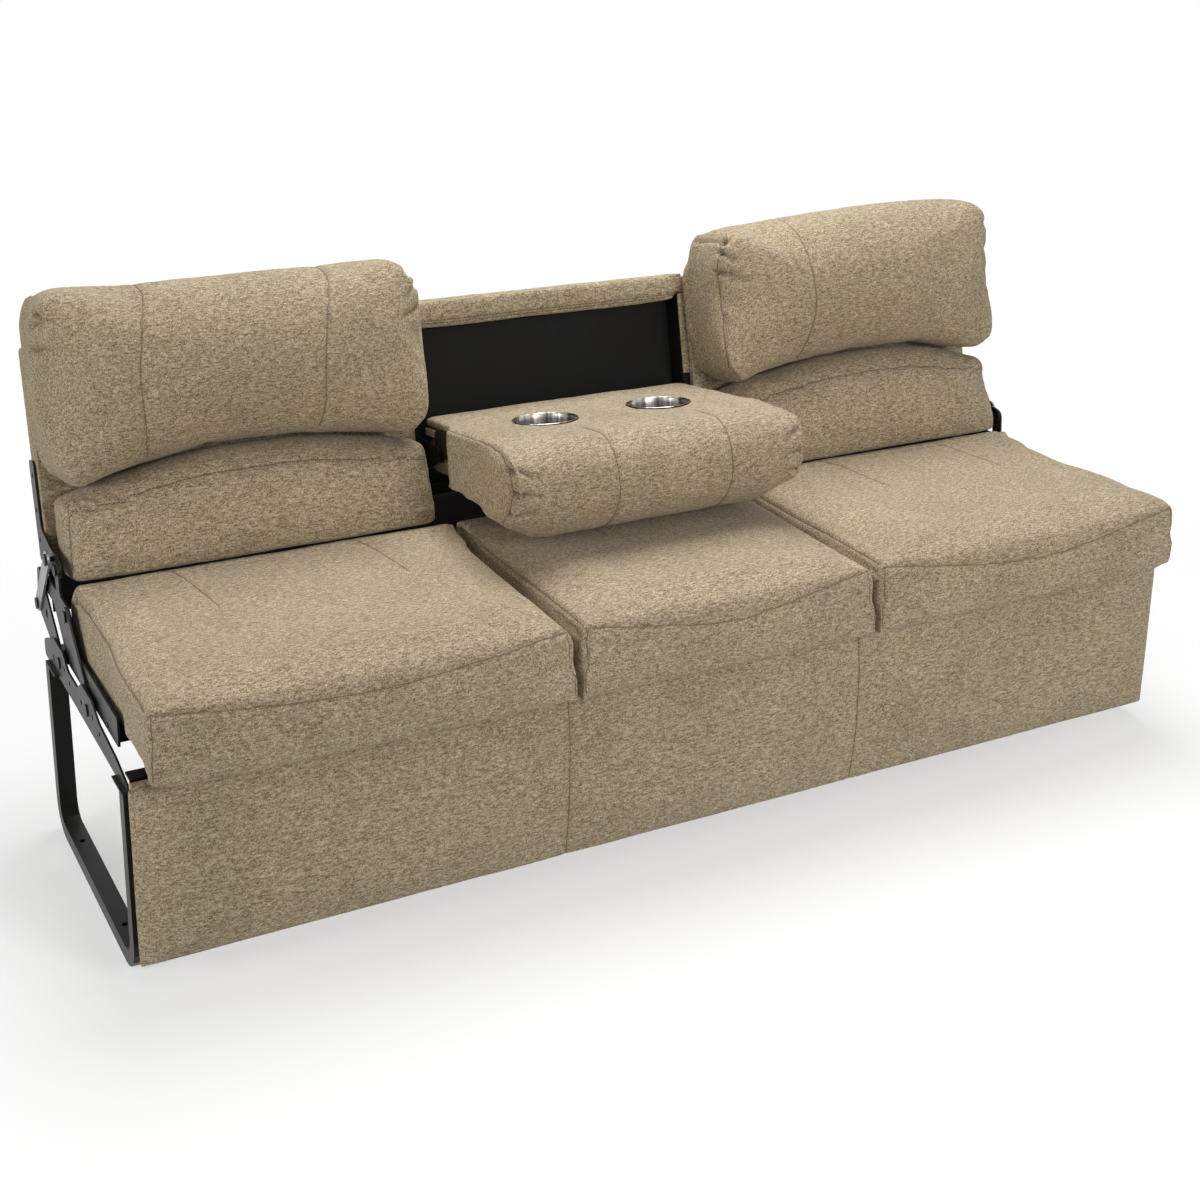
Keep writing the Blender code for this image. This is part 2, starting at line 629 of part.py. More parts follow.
def add_seat_cushions(seat):
    """Three crowned sections with a rolled front, fitted over the seat frame, above one band in front."""
    frame_low = (-SEAT_FRAME_HALF - GAP, -GAP, 0.0)
    frame_high = (SEAT_FRAME_HALF + GAP, SEAT_FRAME_DEPTH + GAP, DECK_TOP + GAP)
    band_low = (-HALF_WIDTH, -HALF_WIDTH, 0.0)
    band_high = (HALF_WIDTH, 0.0, CUSHION_BOTTOM)
    top = DECK_TOP + CUSHION_EDGE
    rear = SEAT_FRAME_DEPTH + CUSHION_REAR
    ys = [-CUSHION_FRONT, 0.0, *even(0.0, rear, 4)[1:-1], rear - 2 * CUSHION_REAR, rear]
    zs = [SEAT_BOTTOM + GAP, *even(CUSHION_BOTTOM, top, 2)]
    inner = CENTRE_HALF + SECTION_GAP / 2
    side_xs = [inner, inner + CUSHION_SKIRT, *even(inner, CUSHION_SIDE, 3)[1:-1]]
    side_xs += [CUSHION_SIDE - CUSHION_SKIRT, CUSHION_SIDE]
    edge = CENTRE_HALF - SECTION_GAP / 2
    centre_xs = [-edge, -edge + CUSHION_SKIRT, 0.0, edge - CUSHION_SKIRT, edge]
    sections = {"left": [-x for x in reversed(side_xs)], "center": centre_xs, "right": side_xs}
    swell = {"-y": CUSHION_FRONT_BULGE, "+z": CUSHION_CROWN, "-x": -CUSHION_DRAW, "+x": -CUSHION_DRAW}
    for name, xs in sections.items():
        form = cage(xs, ys, zs, swell)
        room = [box(band_low, band_high), box(frame_low, frame_high)]
        add_piece(f"{name}_seat_cushion", form, "tweed", seat, SEAT_FRONT_PIN, cuts=room, soft=True)
    xs = [-CUSHION_SIDE, -CUSHION_SIDE + CUSHION_SKIRT, 0.0, CUSHION_SIDE - CUSHION_SKIRT, CUSHION_SIDE]
    band = cage(xs, even(-BAND_DEPTH, -GAP, 2), even(BAND_BOTTOM, BAND_BOTTOM + BAND_HEIGHT, 2), {})
    add_piece("seat_front_band", band, "tweed", seat, SEAT_FRONT_PIN, soft=True)


def build_back(back):
    for name, side in SIDES:
        add_back_bracket(name, side, back)
        foot = (STILE_FRONT, BACK_FOOT)
        outer = side_box(side, STILE_INNER, BACK_SIDE, foot, (STILE_REAR, BACK_HEIGHT), 0.002)
        add_piece(f"{name}_outer_stile", outer, "pine", back)
        jamb_top = (STILE_REAR, TOP_RAIL_BOTTOM - GAP)
        inner = side_box(side, JAMB_INNER, JAMB_OUTER, foot, jamb_top, 0.002)
        add_piece(f"{name}_inner_stile", inner, "black_panel", back)
        rail_top = (STILE_FRONT + BACK_RAIL, BACK_FOOT + BACK_RAIL)
        bottom = side_box(side, JAMB_OUTER + GAP, STILE_INNER - GAP, foot, rail_top, 0.002)
        add_piece(f"{name}_bottom_rail", bottom, "pine", back)
        board = side_box(side, SIDE_START, CUSHION_SIDE, (BOARD_FRONT, BACK_FOOT), (BOARD_REAR, BACK_HEIGHT), 0.001)
        add_piece(f"{name}_back_board", board, "plywood", back)
        add_back_pads(name, side, back)
        add_console_bracket(name, side, back)
    rail_half = STILE_INNER - GAP
    rail_front = STILE_REAR - BACK_RAIL
    rail = box(
        (-rail_half, rail_front, TOP_RAIL_BOTTOM), (rail_half, STILE_REAR, BACK_HEIGHT), bevel=0.002
    )
    add_piece("back_top_rail", rail, "pine", back)
    half = JAMB_INNER - GAP
    pad_bottom = BACK_HEIGHT - TOP_PAD_HEIGHT
    top = BACK_HEIGHT + TOP_PAD_COVER
    xs = [-half, -half + PAD_CORNER, 0.0, half - PAD_CORNER, half]
    pad = cage(xs, even(TOP_PAD_FRONT, STILE_REAR, 2), even(pad_bottom, top, 3), {})
    pocket = box((-rail_half, rail_front - GAP, TOP_RAIL_BOTTOM - GAP), (rail_half, 1.0, BACK_HEIGHT + GAP))
    add_piece("top_rail_pad", pad, "tweed", back, cuts=[pocket], soft=True)
    well = box((-half, STILE_REAR - WELL_PANEL, BACK_FOOT), (half, STILE_REAR, pad_bottom - GAP), bevel=0.001)
    add_piece("well_panel", well, "black_panel", back)
    panel_low = (-BACK_SIDE, STILE_REAR + GAP, BACK_FOOT)
    panel = box(panel_low, (BACK_SIDE, STILE_REAR + GAP + REAR_PANEL, BACK_HEIGHT), bevel=0.0008)
    add_piece("rear_panel", panel, "black_panel", back)


def add_back_bracket(name, side, back):
    """The angled plate on the side of the back: hinge pin, link pin and the leg screwed to the stile."""
    lean = Matrix.Rotation(BACK_LEAN, 2)
    link_pin = lean @ Vector(LINK_TOP)
    front, rear = STILE_FRONT + PIN, STILE_REAR - PIN
    corners = [
        (-HUB, -HUB, 0.99 * HUB),
        (rear, BACK_FOOT - PIN, HUB / 2),
        (rear, BACK_BRACKET_HEIGHT, HUB / 2),
        (front, BACK_BRACKET_HEIGHT, HUB / 2),
        (front, BACK_BRACKET_HEIGHT / 3, HUB),
        (link_pin.x + HUB, link_pin.y + HUB, HUB),
        (-HUB, HUB, 0.99 * HUB),
    ]
    middle = (front + rear) / 2
    holes = [ring((middle, BACK_BRACKET_HEIGHT * share), RAIL_HOLE, 10) for share in (0.2, 0.5, 0.85)]
    bracket = plate(side, BACK_BRACKET_INNER, BACK_BRACKET_INNER + STEEL, rounded(corners), holes)
    face = BACK_BRACKET_INNER + STEEL
    pins = rivet(side, face, SEAT_BRACKET_INNER + STEEL, (0.0, 0.0))
    pins += rivet(side, face, RAIL_OUTER, link_pin)
    add_piece(f"{name}_back_bracket", bracket, "black_steel", back, joins=pins)


def add_back_pads(name, side, back):
    """The lumbar pad and the head pillow of one side, meeting in an arched crease."""
    xs = [SIDE_START, SIDE_START + CUSHION_SKIRT, *even(SIDE_START, CUSHION_SIDE, 4)[1:-1]]
    xs += [CUSHION_SIDE - CUSHION_SKIRT, CUSHION_SIDE]
    if side < 0:
        xs = [-x for x in reversed(xs)]
    rear = BOARD_FRONT - GAP
    lumbar = cage(
        xs,
        even(-LUMBAR_EDGE, rear, 2),
        even(BACK_FOOT - PAD_DROP, LUMBAR_TOP, 3),
        {"-y": LUMBAR_CROWN},
        arch=(0.0, CREASE_ARCH),
    )
    add_piece(f"{name}_lumbar_pad", lumbar, "tweed", back, soft=True)
    pillow = cage(
        xs,
        even(-PILLOW_EDGE, rear, 3),
        even(LUMBAR_TOP + CREASE_GAP, PILLOW_TOP, 3),
        {"-y": PILLOW_CROWN, "+z": PILLOW_TOP_CROWN, "-x": -PILLOW_DRAW, "+x": -PILLOW_DRAW},
        arch=(CREASE_ARCH, 0.0),
    )
    add_piece(f"{name}_head_pillow", pillow, "tweed", back, soft=True)


def add_console_bracket(name, side, back):
    """The black plate on the jamb of the well that carries the console's hinge pin."""
    jamb = (STILE_FRONT + STILE_REAR) / 2
    hinge = CONSOLE_HINGE
    circles = [(hinge, HUB), ((jamb, hinge[1] + HUB), HUB - PIN), ((jamb, hinge[1] - 2 * HUB), HUB - PIN)]
    face = CONSOLE_BRACKET_INNER
    bracket = plate(side, face, face + STEEL, belt(circles))
    pin = rod(*span(side, CONSOLE_ARM_INNER, face + WELD), hinge, PIN)
    add_piece(f"{name}_console_bracket", bracket, "black_steel", back, joins=[pin])


def build_console(console):
    """The centre of the back, folded forward: a board with a padded top, cups, pillow and lumbar pad."""
    board_top = CUP_FACE - CONSOLE_PAD - GAP
    for name, side in SIDES:
        add_cup_holder(name, side, console)
        line = board_top - PLYWOOD / 2
        circles = [((0.0, 0.0), HUB), ((-CONSOLE_ARM_LENGTH, line), HUB - PIN), ((0.0, line), HUB - PIN)]
        hole = [ring((0.0, 0.0), PIN + PIN_PLAY)]
        arm = plate(side, CONSOLE_ARM_INNER, CONSOLE_ARM_INNER + STEEL, belt(circles), hole)
        add_piece(f"{name}_console_arm", arm, "black_steel", console)
    half = CONSOLE_HALF
    front = -CONSOLE_PANEL_FRONT
    margin = CONSOLE_REAR - 2 * PIN
    board = box((-half, front, CONSOLE_BOARD_BOTTOM), (half, margin, board_top), bevel=0.001)
    add_piece("console_board", board, "plywood", console, cuts=cup_cutters())
    xs = [-half, -half + PAD_CORNER, 0.0, half - PAD_CORNER, half]
    pad_zs = [CUP_FACE - CONSOLE_PAD, CUP_FACE - CONSOLE_PAD / 2, CUP_FACE]
    pad_ys = [front, front + PAD_CORNER, 0.0, CONSOLE_REAR - PAD_CORNER, CONSOLE_REAR]
    pad = cage(xs, pad_ys, pad_zs, {})
    add_piece("console_top_pad", pad, "tweed", console, cuts=cup_cutters(), soft=True)
    crease = CREASE_GAP / 2
    lumbar = cage(
        xs,
        even(-CONSOLE_CREASE + crease, CONSOLE_REAR, 3),
        even(-CONSOLE_LUMBAR_DEPTH, CONSOLE_BOARD_BOTTOM - GAP, 2),
        {"-z": CONSOLE_LUMBAR_CROWN},
    )
    add_piece("console_lumbar_pad", lumbar, "tweed", console, soft=True)
    pillow = cage(
        xs,
        even(-CONSOLE_FRONT, -CONSOLE_CREASE - crease, 4),
        even(-CONSOLE_PILLOW_DEPTH, CUP_FACE, 3),
        {"-z": CONSOLE_PILLOW_CROWN, "-y": CONSOLE_FRONT_CROWN},
    )
    pocket = box((-1.0, front - GAP, CONSOLE_BOARD_BOTTOM - GAP), (1.0, 1.0, 1.0))
    add_piece("console_pillow", pillow, "tweed", console, cuts=[pocket, *cup_cutters()], soft=True)


def cup_cutters():
    """Round pockets for the two cup holders, a little wider and deeper than their bodies."""
    bottom = CUP_FACE - CUP_DEPTH - STEEL / 2
    places = [(side * CUP_SPACING / 2, -CUP_FORWARD) for _, side in SIDES]
    radius = (CUP_BODY + GAP) / math.cos(math.pi / CUP_STEPS)
    return [rod(bottom, CUP_FACE + CUP_DEPTH, p, radius, upright=True, segments=CUP_STEPS) for p in places]


def add_cup_holder(name, side, console):
    """A spun stainless cup with a flat rim: one profile turned about its axis."""
    floor, inside = -CUP_DEPTH, CUP_BODY - CUP_WALL
    profile = [
        (0.0, floor + CUP_WALL),
        (inside - CUP_CORNER, floor + CUP_WALL),
        (inside, floor + CUP_CORNER),
        (inside, -CUP_WALL),
        (CUP_BODY + CUP_WALL, CUP_RIM_THICK),
        (CUP_RIM - CUP_WALL, CUP_RIM_THICK),
        (CUP_RIM, CUP_RIM_THICK / 2),
        (CUP_RIM, GAP),
        (CUP_BODY, GAP),
        (CUP_BODY, floor + CUP_CORNER),
        (CUP_BODY - CUP_CORNER, floor),
        (0.0, floor),
    ]
    mesh = bpy.data.meshes.new("cup profile")
    points = [(radius, 0.0, height) for radius, height in profile]
    mesh.from_pydata(points, [(k, k + 1) for k in range(len(points) - 1)], [])
    cup = add_piece(f"{name}_cup_holder", mesh, "stainless", console)
    cup.location = (side * CUP_SPACING / 2, -CUP_FORWARD, CUP_FACE)
    turn = cup.modifiers.new("spun wall", "SCREW")
    turn.axis = "Z"
    turn.steps = CUP_STEPS
    turn.render_steps = CUP_STEPS
    turn.use_merge_vertices = True
    turn.merge_threshold = 0.0001
    turn.use_smooth_shade = True


def stand_on_floor(root):
    """Move the whole sofa so that the origin is under the middle of its outline, on the floor."""
    bpy.context.view_layer.update()
    depsgraph = bpy.context.evaluated_depsgraph_get()
    corners = []
    for piece in SOFA.objects:
        if piece.type == "MESH":
            solid = piece.evaluated_get(depsgraph)
            corners += [solid.matrix_world @ vert.co for vert in solid.data.vertices]
    low = Vector(min(c[k] for c in corners) for k in range(3))
    high = Vector(max(c[k] for c in corners) for k in range(3))
    root.location = (-(low.x + high.x) / 2, -(low.y + high.y) / 2, -low.z)
    bpy.context.view_layer.update()
    print("overall size", [round(v, 4) for v in high - low])


def main():
    root = pivot_empty("sofa_origin", (0.0, 0.0))
    front_pivot = pivot_empty("front_arm_pivot", FRONT_PIVOT, parent=root)
    rear_pivot = pivot_empty("rear_arm_pivot", REAR_PIVOT, parent=root)
    link_pivot = pivot_empty("back_link_pivot", Vector(LINK_FOOT), parent=rear_pivot)
    seat_pivot = pivot_empty("seat_pivot", ARM_REACH, parent=front_pivot)
    back_hinge = pivot_empty("back_hinge", HINGE - SEAT_FRONT_PIN, BACK_LEAN, parent=seat_pivot)
    console_hinge = pivot_empty("console_hinge", CONSOLE_HINGE, CONSOLE_LEAN - BACK_LEAN, parent=back_hinge)
    build_base(root)
    build_arms(front_pivot, rear_pivot, link_pivot)
    build_seat(seat_pivot)
    build_back(back_hinge)
    build_console(console_hinge)
    stand_on_floor(root)
    for axis in (front_pivot, rear_pivot, link_pivot, seat_pivot, back_hinge, console_hinge):
        print(axis.name, [round(v, 5) for v in axis.matrix_world.translation])


main()
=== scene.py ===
# %% [markdown]
# # Jackknife sofa: the looks
#
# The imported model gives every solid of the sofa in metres, standing on the floor with X along the bench,
# Y to the rear and Z up. This lesson dresses it: steel, timber and panels keep their solids and get a
# finish, and each padded solid gives way to a sewn cushion in heathered tan tweed.

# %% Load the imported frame
import json
import math

import bmesh
import bpy
import numpy as np
from mathutils import Matrix, Vector, noise
from mathutils.bvhtree import BVHTree
from mathutils.kdtree import KDTree


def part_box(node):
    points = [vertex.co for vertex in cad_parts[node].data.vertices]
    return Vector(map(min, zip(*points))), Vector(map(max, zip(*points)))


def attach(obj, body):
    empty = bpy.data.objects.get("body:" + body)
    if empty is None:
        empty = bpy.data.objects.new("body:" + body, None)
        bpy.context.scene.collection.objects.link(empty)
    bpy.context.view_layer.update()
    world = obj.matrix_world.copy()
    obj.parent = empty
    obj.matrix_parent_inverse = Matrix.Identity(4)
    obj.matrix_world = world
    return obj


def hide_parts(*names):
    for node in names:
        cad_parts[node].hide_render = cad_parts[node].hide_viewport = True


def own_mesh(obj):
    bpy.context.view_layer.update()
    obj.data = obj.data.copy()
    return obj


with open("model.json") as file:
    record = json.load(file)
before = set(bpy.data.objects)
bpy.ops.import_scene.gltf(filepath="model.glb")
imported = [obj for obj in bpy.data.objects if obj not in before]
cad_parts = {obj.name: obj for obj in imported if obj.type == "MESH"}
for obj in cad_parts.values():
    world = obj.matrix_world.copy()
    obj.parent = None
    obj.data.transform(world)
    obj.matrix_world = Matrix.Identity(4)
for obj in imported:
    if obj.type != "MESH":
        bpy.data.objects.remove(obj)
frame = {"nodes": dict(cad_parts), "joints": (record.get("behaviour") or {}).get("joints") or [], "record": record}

scene = bpy.context.scene
nodes = frame["nodes"]
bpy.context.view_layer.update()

# %% [markdown]
# ## Camera
#
# The view is the one from the front left, a little above the seat back. Its place, turn and focal length
# were solved from the straight edges of the valance, seat and rail. The picture is taken to be 1200 pixels
# square, and a small lens shift stands for a crop that cut more off the bottom than off the top.

# %% Camera
FRAME_PIXELS = 1200
CAMERA_PLACE = Vector((-1.3376, -2.3713, 1.4378))
CAMERA_AZIMUTH = math.radians(-28.433)
CAMERA_RISE = math.radians(17.388)
CAMERA_ROLL = math.radians(0.839)
FOCAL_PIXELS = 1824.0
CENTRE_ROW = 420.0
SENSOR = 36.0


def camera_turn(azimuth, rise, roll):
    """Camera axes as columns: right, up and backwards."""
    level = math.cos(rise)
    back = Vector((math.sin(azimuth) * level, -math.cos(azimuth) * level, math.sin(rise)))
    right = Vector((0.0, 0.0, 1.0)).cross(back).normalized()
    up = back.cross(right)
    tilted_right = math.cos(roll) * right + math.sin(roll) * up
    tilted_up = math.cos(roll) * up - math.sin(roll) * right
    return Matrix((tilted_right, tilted_up, back)).transposed().to_4x4()


lens = bpy.data.cameras.new("sofa_camera")
lens.sensor_width = SENSOR
lens.lens = SENSOR * FOCAL_PIXELS / FRAME_PIXELS
lens.shift_y = (CENTRE_ROW - FRAME_PIXELS / 2) / FRAME_PIXELS
camera = bpy.data.objects.new("sofa_camera", lens)
turn = camera_turn(CAMERA_AZIMUTH, CAMERA_RISE, CAMERA_ROLL)
camera.matrix_world = Matrix.Translation(CAMERA_PLACE) @ turn
scene.collection.objects.link(camera)
scene.camera = camera
print("lens", round(lens.lens, 2), "mm, shift", round(lens.shift_y, 3))

# %% [markdown]
# ## Node trees
#
# Shaders, the world and the threads are all node trees. One helper fills a node's inputs and another adds
# a node, and short functions on top of them give the nodes that come back again and again.

# %% Helpers for pieces and nodes
VECTOR, FLOAT, COLOUR = "NodeSocketVector", "NodeSocketFloat", "NodeSocketColor"


def link_new(name, data):
    piece = bpy.data.objects.new(name, data)
    scene.collection.objects.link(piece)
    return piece


def dress(piece, body, material):
    piece.data.materials.clear()
    piece.data.materials.append(material)
    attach(piece, body)


def fill(tree, node, inputs):
    """Fill inputs by name or number: another node's socket is linked and any other value is set."""
    for label, value in inputs.items():
        if isinstance(value, bpy.types.NodeSocket):
            tree.links.new(value, node.inputs[label])
        else:
            node.inputs[label].default_value = value
    return node


def add_node(tree, kind, inputs=None, **settings):
    node = tree.nodes.new(kind)
    for label, value in settings.items():
        setattr(node, label, value)
    return fill(tree, node, inputs or {})


def new_tree(name, kind, inputs, outputs):
    """A node tree with inputs (name, type, value or None) and outputs, its start sockets and its end node."""
    tree = bpy.data.node_groups.new(name, kind)
    for label, socket_type, value in inputs:
        socket = tree.interface.new_socket(label, in_out="INPUT", socket_type=socket_type)
        if value is not None:
            socket.default_value = value
    for label, socket_type in outputs:
        tree.interface.new_socket(label, in_out="OUTPUT", socket_type=socket_type)
    return tree, tree.nodes.new("NodeGroupInput").outputs, tree.nodes.new("NodeGroupOutput")


def new_material(name):
    material = bpy.data.materials.new(name)
    material.use_nodes = True
    return material, material.node_tree, material.node_tree.nodes["Principled BSDF"]


def object_place(tree):
    return add_node(tree, "ShaderNodeTexCoord").outputs["Object"]


def stretched(tree, vector, scale):
    return add_node(tree, "ShaderNodeMapping", {"Vector": vector, "Scale": scale}).outputs["Vector"]


def scaled(tree, vector, factor):
    return add_node(tree, "ShaderNodeVectorMath", {0: vector, "Scale": factor}, operation="SCALE").outputs[0]


def add_noise(tree, vector, scale, detail=2.0, rough=0.5):
    inputs = {"Vector": vector, "Scale": scale, "Detail": detail, "Roughness": rough}
    return add_node(tree, "ShaderNodeTexNoise", inputs).outputs["Fac"]


def math_node(tree, operation, *values):
    return add_node(tree, "ShaderNodeMath", dict(enumerate(values)), operation=operation).outputs[0]


def mix_colour(tree, factor, first, second):
    """Two colours mixed, by the numbers of the sockets that take and give a colour."""
    return add_node(tree, "ShaderNodeMix", {0: factor, 6: first, 7: second}, data_type="RGBA").outputs[2]


def ramp(tree, value, low, high, bottom=0.0, top=1.0, **settings):
    """A value spread from low..high to bottom..top."""
    inputs = {"Value": value, "From Min": low, "From Max": high, "To Min": bottom, "To Max": top}
    return add_node(tree, "ShaderNodeMapRange", inputs, **settings).outputs["Result"]


def bumped(tree, height, strength, distance):
    inputs = {"Height": height, "Strength": strength, "Distance": distance}
    return add_node(tree, "ShaderNodeBump", inputs).outputs["Normal"]


# %% [markdown]
# ## Floor and light
#
# The sofa stands on a plain white sweep. One broad lamp hangs over and behind it, a low and a high one
# light it from the front, a fourth lights its left end, and the white surroundings do the rest. So the
# tops read lighter than the fronts, and the seat's front edge throws a soft shadow on the valance. The
# world is plain white for the camera and for gloss, and dimmer as a light. The floor fades out round the
# sofa, so that it holds the shadow and has no visible far edge.

# %% Floor, lamps and world
FLOOR_SIZE = 9.0
FLOOR_FADE = (2.3, 1.8)
FLOOR_SHARE = 0.5
LAMPS = (
    ("overhead_lamp", (0.4, 0.70, 3.0), (0.05, 0.0, 0.3), 2.0, 84.0),
    ("low_front_lamp", (0.9, -3.4, 0.7), (0.2, -0.3, 0.2), 1.8, 17.0),
    ("high_front_lamp", (0.9, -3.2, 1.8), (0.2, -0.3, 0.2), 0.9, 44.0),
    ("left_lamp", (-3.4, -0.4, 1.0), (-0.8, 0.0, 0.35), 1.4, 40.0),
)
WORLD_LIGHT = 0.24
WORLD_TINT = (1.0, 0.99, 0.97, 1.0)
WHITE = (1.0, 1.0, 1.0, 1.0)


def add_floor():
    half = FLOOR_SIZE / 2
    corners = [(-half, -half, 0.0), (half, -half, 0.0), (half, half, 0.0), (-half, half, 0.0)]
    mesh = bpy.data.meshes.new("floor")
    mesh.from_pydata(corners, [], [(0, 1, 2, 3)])
    floor = link_new("floor", mesh)
    material, tree, shader = new_material("white_floor")
    spread = stretched(tree, object_place(tree), (1.0 / FLOOR_FADE[0], 1.0 / FLOOR_FADE[1], 1.0))
    reach = add_node(tree, "ShaderNodeVectorMath", {0: spread}, operation="LENGTH").outputs["Value"]
    alpha = ramp(tree, reach, 0.25, 1.0, FLOOR_SHARE, 0.0, interpolation_type="SMOOTHSTEP")
    fill(tree, shader, {"Base Color": (0.90, 0.90, 0.90, 1.0), "Roughness": 0.9, "Alpha": alpha})
    mesh.materials.append(material)


def add_lamp(name, place, aim, size, power):
    lamp = bpy.data.lights.new(name, "AREA")
    lamp.shape = "DISK"
    lamp.size = size
    lamp.energy = power
    turn = (Vector(place) - Vector(aim)).to_track_quat("Z", "Y").to_matrix().to_4x4()
    link_new(name, lamp).matrix_world = Matrix.Translation(place) @ turn


def light_world():
    world = bpy.data.worlds.new("white_studio")
    scene.world = world
    world.use_nodes = True
    tree = world.node_tree
    tree.nodes.clear()
    rays = add_node(tree, "ShaderNodeLightPath").outputs
    seen = math_node(tree, "MAXIMUM", rays["Is Camera Ray"], rays["Is Glossy Ray"])
    shown = math_node(tree, "MAXIMUM", seen, rays["Is Transmission Ray"])
    dim = add_node(tree, "ShaderNodeBackground", {"Strength": WORLD_LIGHT, "Color": WORLD_TINT})
    white = add_node(tree, "ShaderNodeBackground", {"Color": WHITE})
    mix = add_node(tree, "ShaderNodeMixShader", {0: shown, 1: dim.outputs[0], 2: white.outputs[0]})
    add_node(tree, "ShaderNodeOutputWorld", {"Surface": mix.outputs[0]})


add_floor()
for lamp_values in LAMPS:
    add_lamp(*lamp_values)
light_world()
scene.view_settings.view_transform = "Standard"
print("lamps", len(LAMPS))

# %% [markdown]
# ## Tweed
#
# The cover is a plain weave of yarns spun from light, middle and dark brown fibres, so that short
# flecks run along the bench and others cross them. It could be drawn on a UV map, but the cushions are
# remeshed and lose theirs. Object coordinates do as well: noise drawn out along X gives the weft, and
# noise that is fine along X and drawn out across it gives the warp, on tops and fronts alike. The group
# gives a colour and a height. The seam attribute of a cushion darkens the cloth in its seams, darts and
# pleats, and that darkening is painted shade in their grooves.

# %% Shader group for the weave
YARNS = (
    (0.12, (0.110, 0.078, 0.048)),
    (0.36, (0.235, 0.178, 0.111)),
    (0.52, (0.372, 0.296, 0.192)),
    (0.68, (0.508, 0.420, 0.284)),
    (0.92, (0.650, 0.560, 0.405)),
)
WEFT = ((260.0, 1000.0, 1000.0), 2.0, 0.55)
WARP = ((1000.0, 330.0, 330.0), 2.0, 0.55)
MOTTLE = ((105.0, 360.0, 360.0), 3.0, 0.65)
CLOUD_SCALE = 9.0


def build_weave_group():
    inputs = [("Vector", VECTOR, (0.0, 0.0, 0.0)), ("Fleck Scale", FLOAT, 1.0), ("Contrast", FLOAT, 1.0)]
    outputs = [("Colour", COLOUR), ("Height", FLOAT)]
    group, start, end = new_tree("tweed_weave", "ShaderNodeTree", inputs, outputs)
    place = scaled(group, start["Vector"], start["Fleck Scale"])
    weft, warp, mottle = [add_noise(group, stretched(group, place, scale), 1.0, detail, rough)
                          for scale, detail, rough in (WEFT, WARP, MOTTLE)]
    threads = math_node(group, "ADD", weft, warp)
    centred = math_node(group, "SUBTRACT", math_node(group, "ADD", threads, mottle), 1.5)
    swing = math_node(group, "MULTIPLY", centred, start["Contrast"])
    yarns = add_node(group, "ShaderNodeValToRGB", {"Fac": math_node(group, "ADD", swing, 0.5)})
    stops = yarns.color_ramp.elements
    for stop, (position, colour) in zip(stops, (YARNS[0], YARNS[-1])):
        stop.position = position
        stop.color = (*colour, 1.0)
    for position, colour in YARNS[1:-1]:
        stops.new(position).color = (*colour, 1.0)
    shade = ramp(group, add_noise(group, place, CLOUD_SCALE), 0.3, 0.7, 0.93, 1.06)
    fill(group, end, {"Colour": scaled(group, yarns.outputs["Color"], shade), "Height": threads})
    return group


WEAVE = build_weave_group()
print("weave group with", len(WEAVE.nodes), "nodes")

# %% Tweed material
# The colour below is painted shade: it is mixed into the cloth in the grooves of seams, darts, topstitching and
# pleats.
SEAM_PAINTED_SHADE = (0.070, 0.050, 0.032, 1.0)


def make_tweed():
    material, tree, shader = new_material("heathered_tweed")
    weave = add_node(tree, "ShaderNodeGroup", node_tree=WEAVE)
    fill(tree, weave, {"Vector": object_place(tree)})
    # The seam attribute mixes painted shade into the weave's colour in the grooves of seams, darts and pleats.
    seam = add_node(tree, "ShaderNodeAttribute", attribute_name="seam")
    fill(tree, shader, {
        "Base Color": mix_colour(tree, seam.outputs["Fac"], weave.outputs["Colour"], SEAM_PAINTED_SHADE),
        "Roughness": 0.92,
        "Sheen Weight": 0.12,
        "Sheen Roughness": 0.5,
        "Specular IOR Level": 0.18,
        "Normal": bumped(tree, weave.outputs["Height"], 0.55, 0.0011),
    })
    return material


TWEED = make_tweed()
print("tweed", TWEED.name)

# %% [markdown]
# ## Steel, timber and panels
#
# The base, rails and arms are pressed plate and bent tube in a satin black coat, the short links are
# zinc plated, and the well behind the console is matt black board. Each is a Principled shader whose
# colour, roughness and bump follow noise, so no surface is one flat value. One group, placed in several
# of them with its own numbers, gives the fine orange peel of a coating and a thin film of dust.

# %% Shader group for coated surfaces


def build_coat_group():
    inputs = [
        ("Vector", VECTOR, (0.0, 0.0, 0.0)),
        ("Coat Colour", COLOUR, (0.02, 0.02, 0.02, 1.0)),
        ("Dust Colour", COLOUR, (0.10, 0.095, 0.085, 1.0)),
        ("Dust", FLOAT, 0.25),
        ("Smooth", FLOAT, 0.30),
        ("Rough", FLOAT, 0.46),
        ("Grain", FLOAT, 900.0),
    ]
    outputs = [("Colour", COLOUR), ("Roughness", FLOAT), ("Height", FLOAT)]
    group, start, end = new_tree("coated_surface", "ShaderNodeTree", inputs, outputs)
    broad = add_noise(group, start["Vector"], 14.0, 3.0, 0.6)
    grain = add_noise(group, start["Vector"], start["Grain"], 1.0)
    film = math_node(group, "MULTIPLY", ramp(group, broad, 0.42, 0.72), start["Dust"])
    colour = mix_colour(group, film, start["Coat Colour"], start["Dust Colour"])
    spread = math_node(group, "SUBTRACT", start["Rough"], start["Smooth"])
    rough = math_node(group, "ADD", math_node(group, "MULTIPLY", broad, spread), start["Smooth"])
    fill(group, end, {"Colour": colour, "Roughness": rough, "Height": grain})
    return group


COAT = build_coat_group()


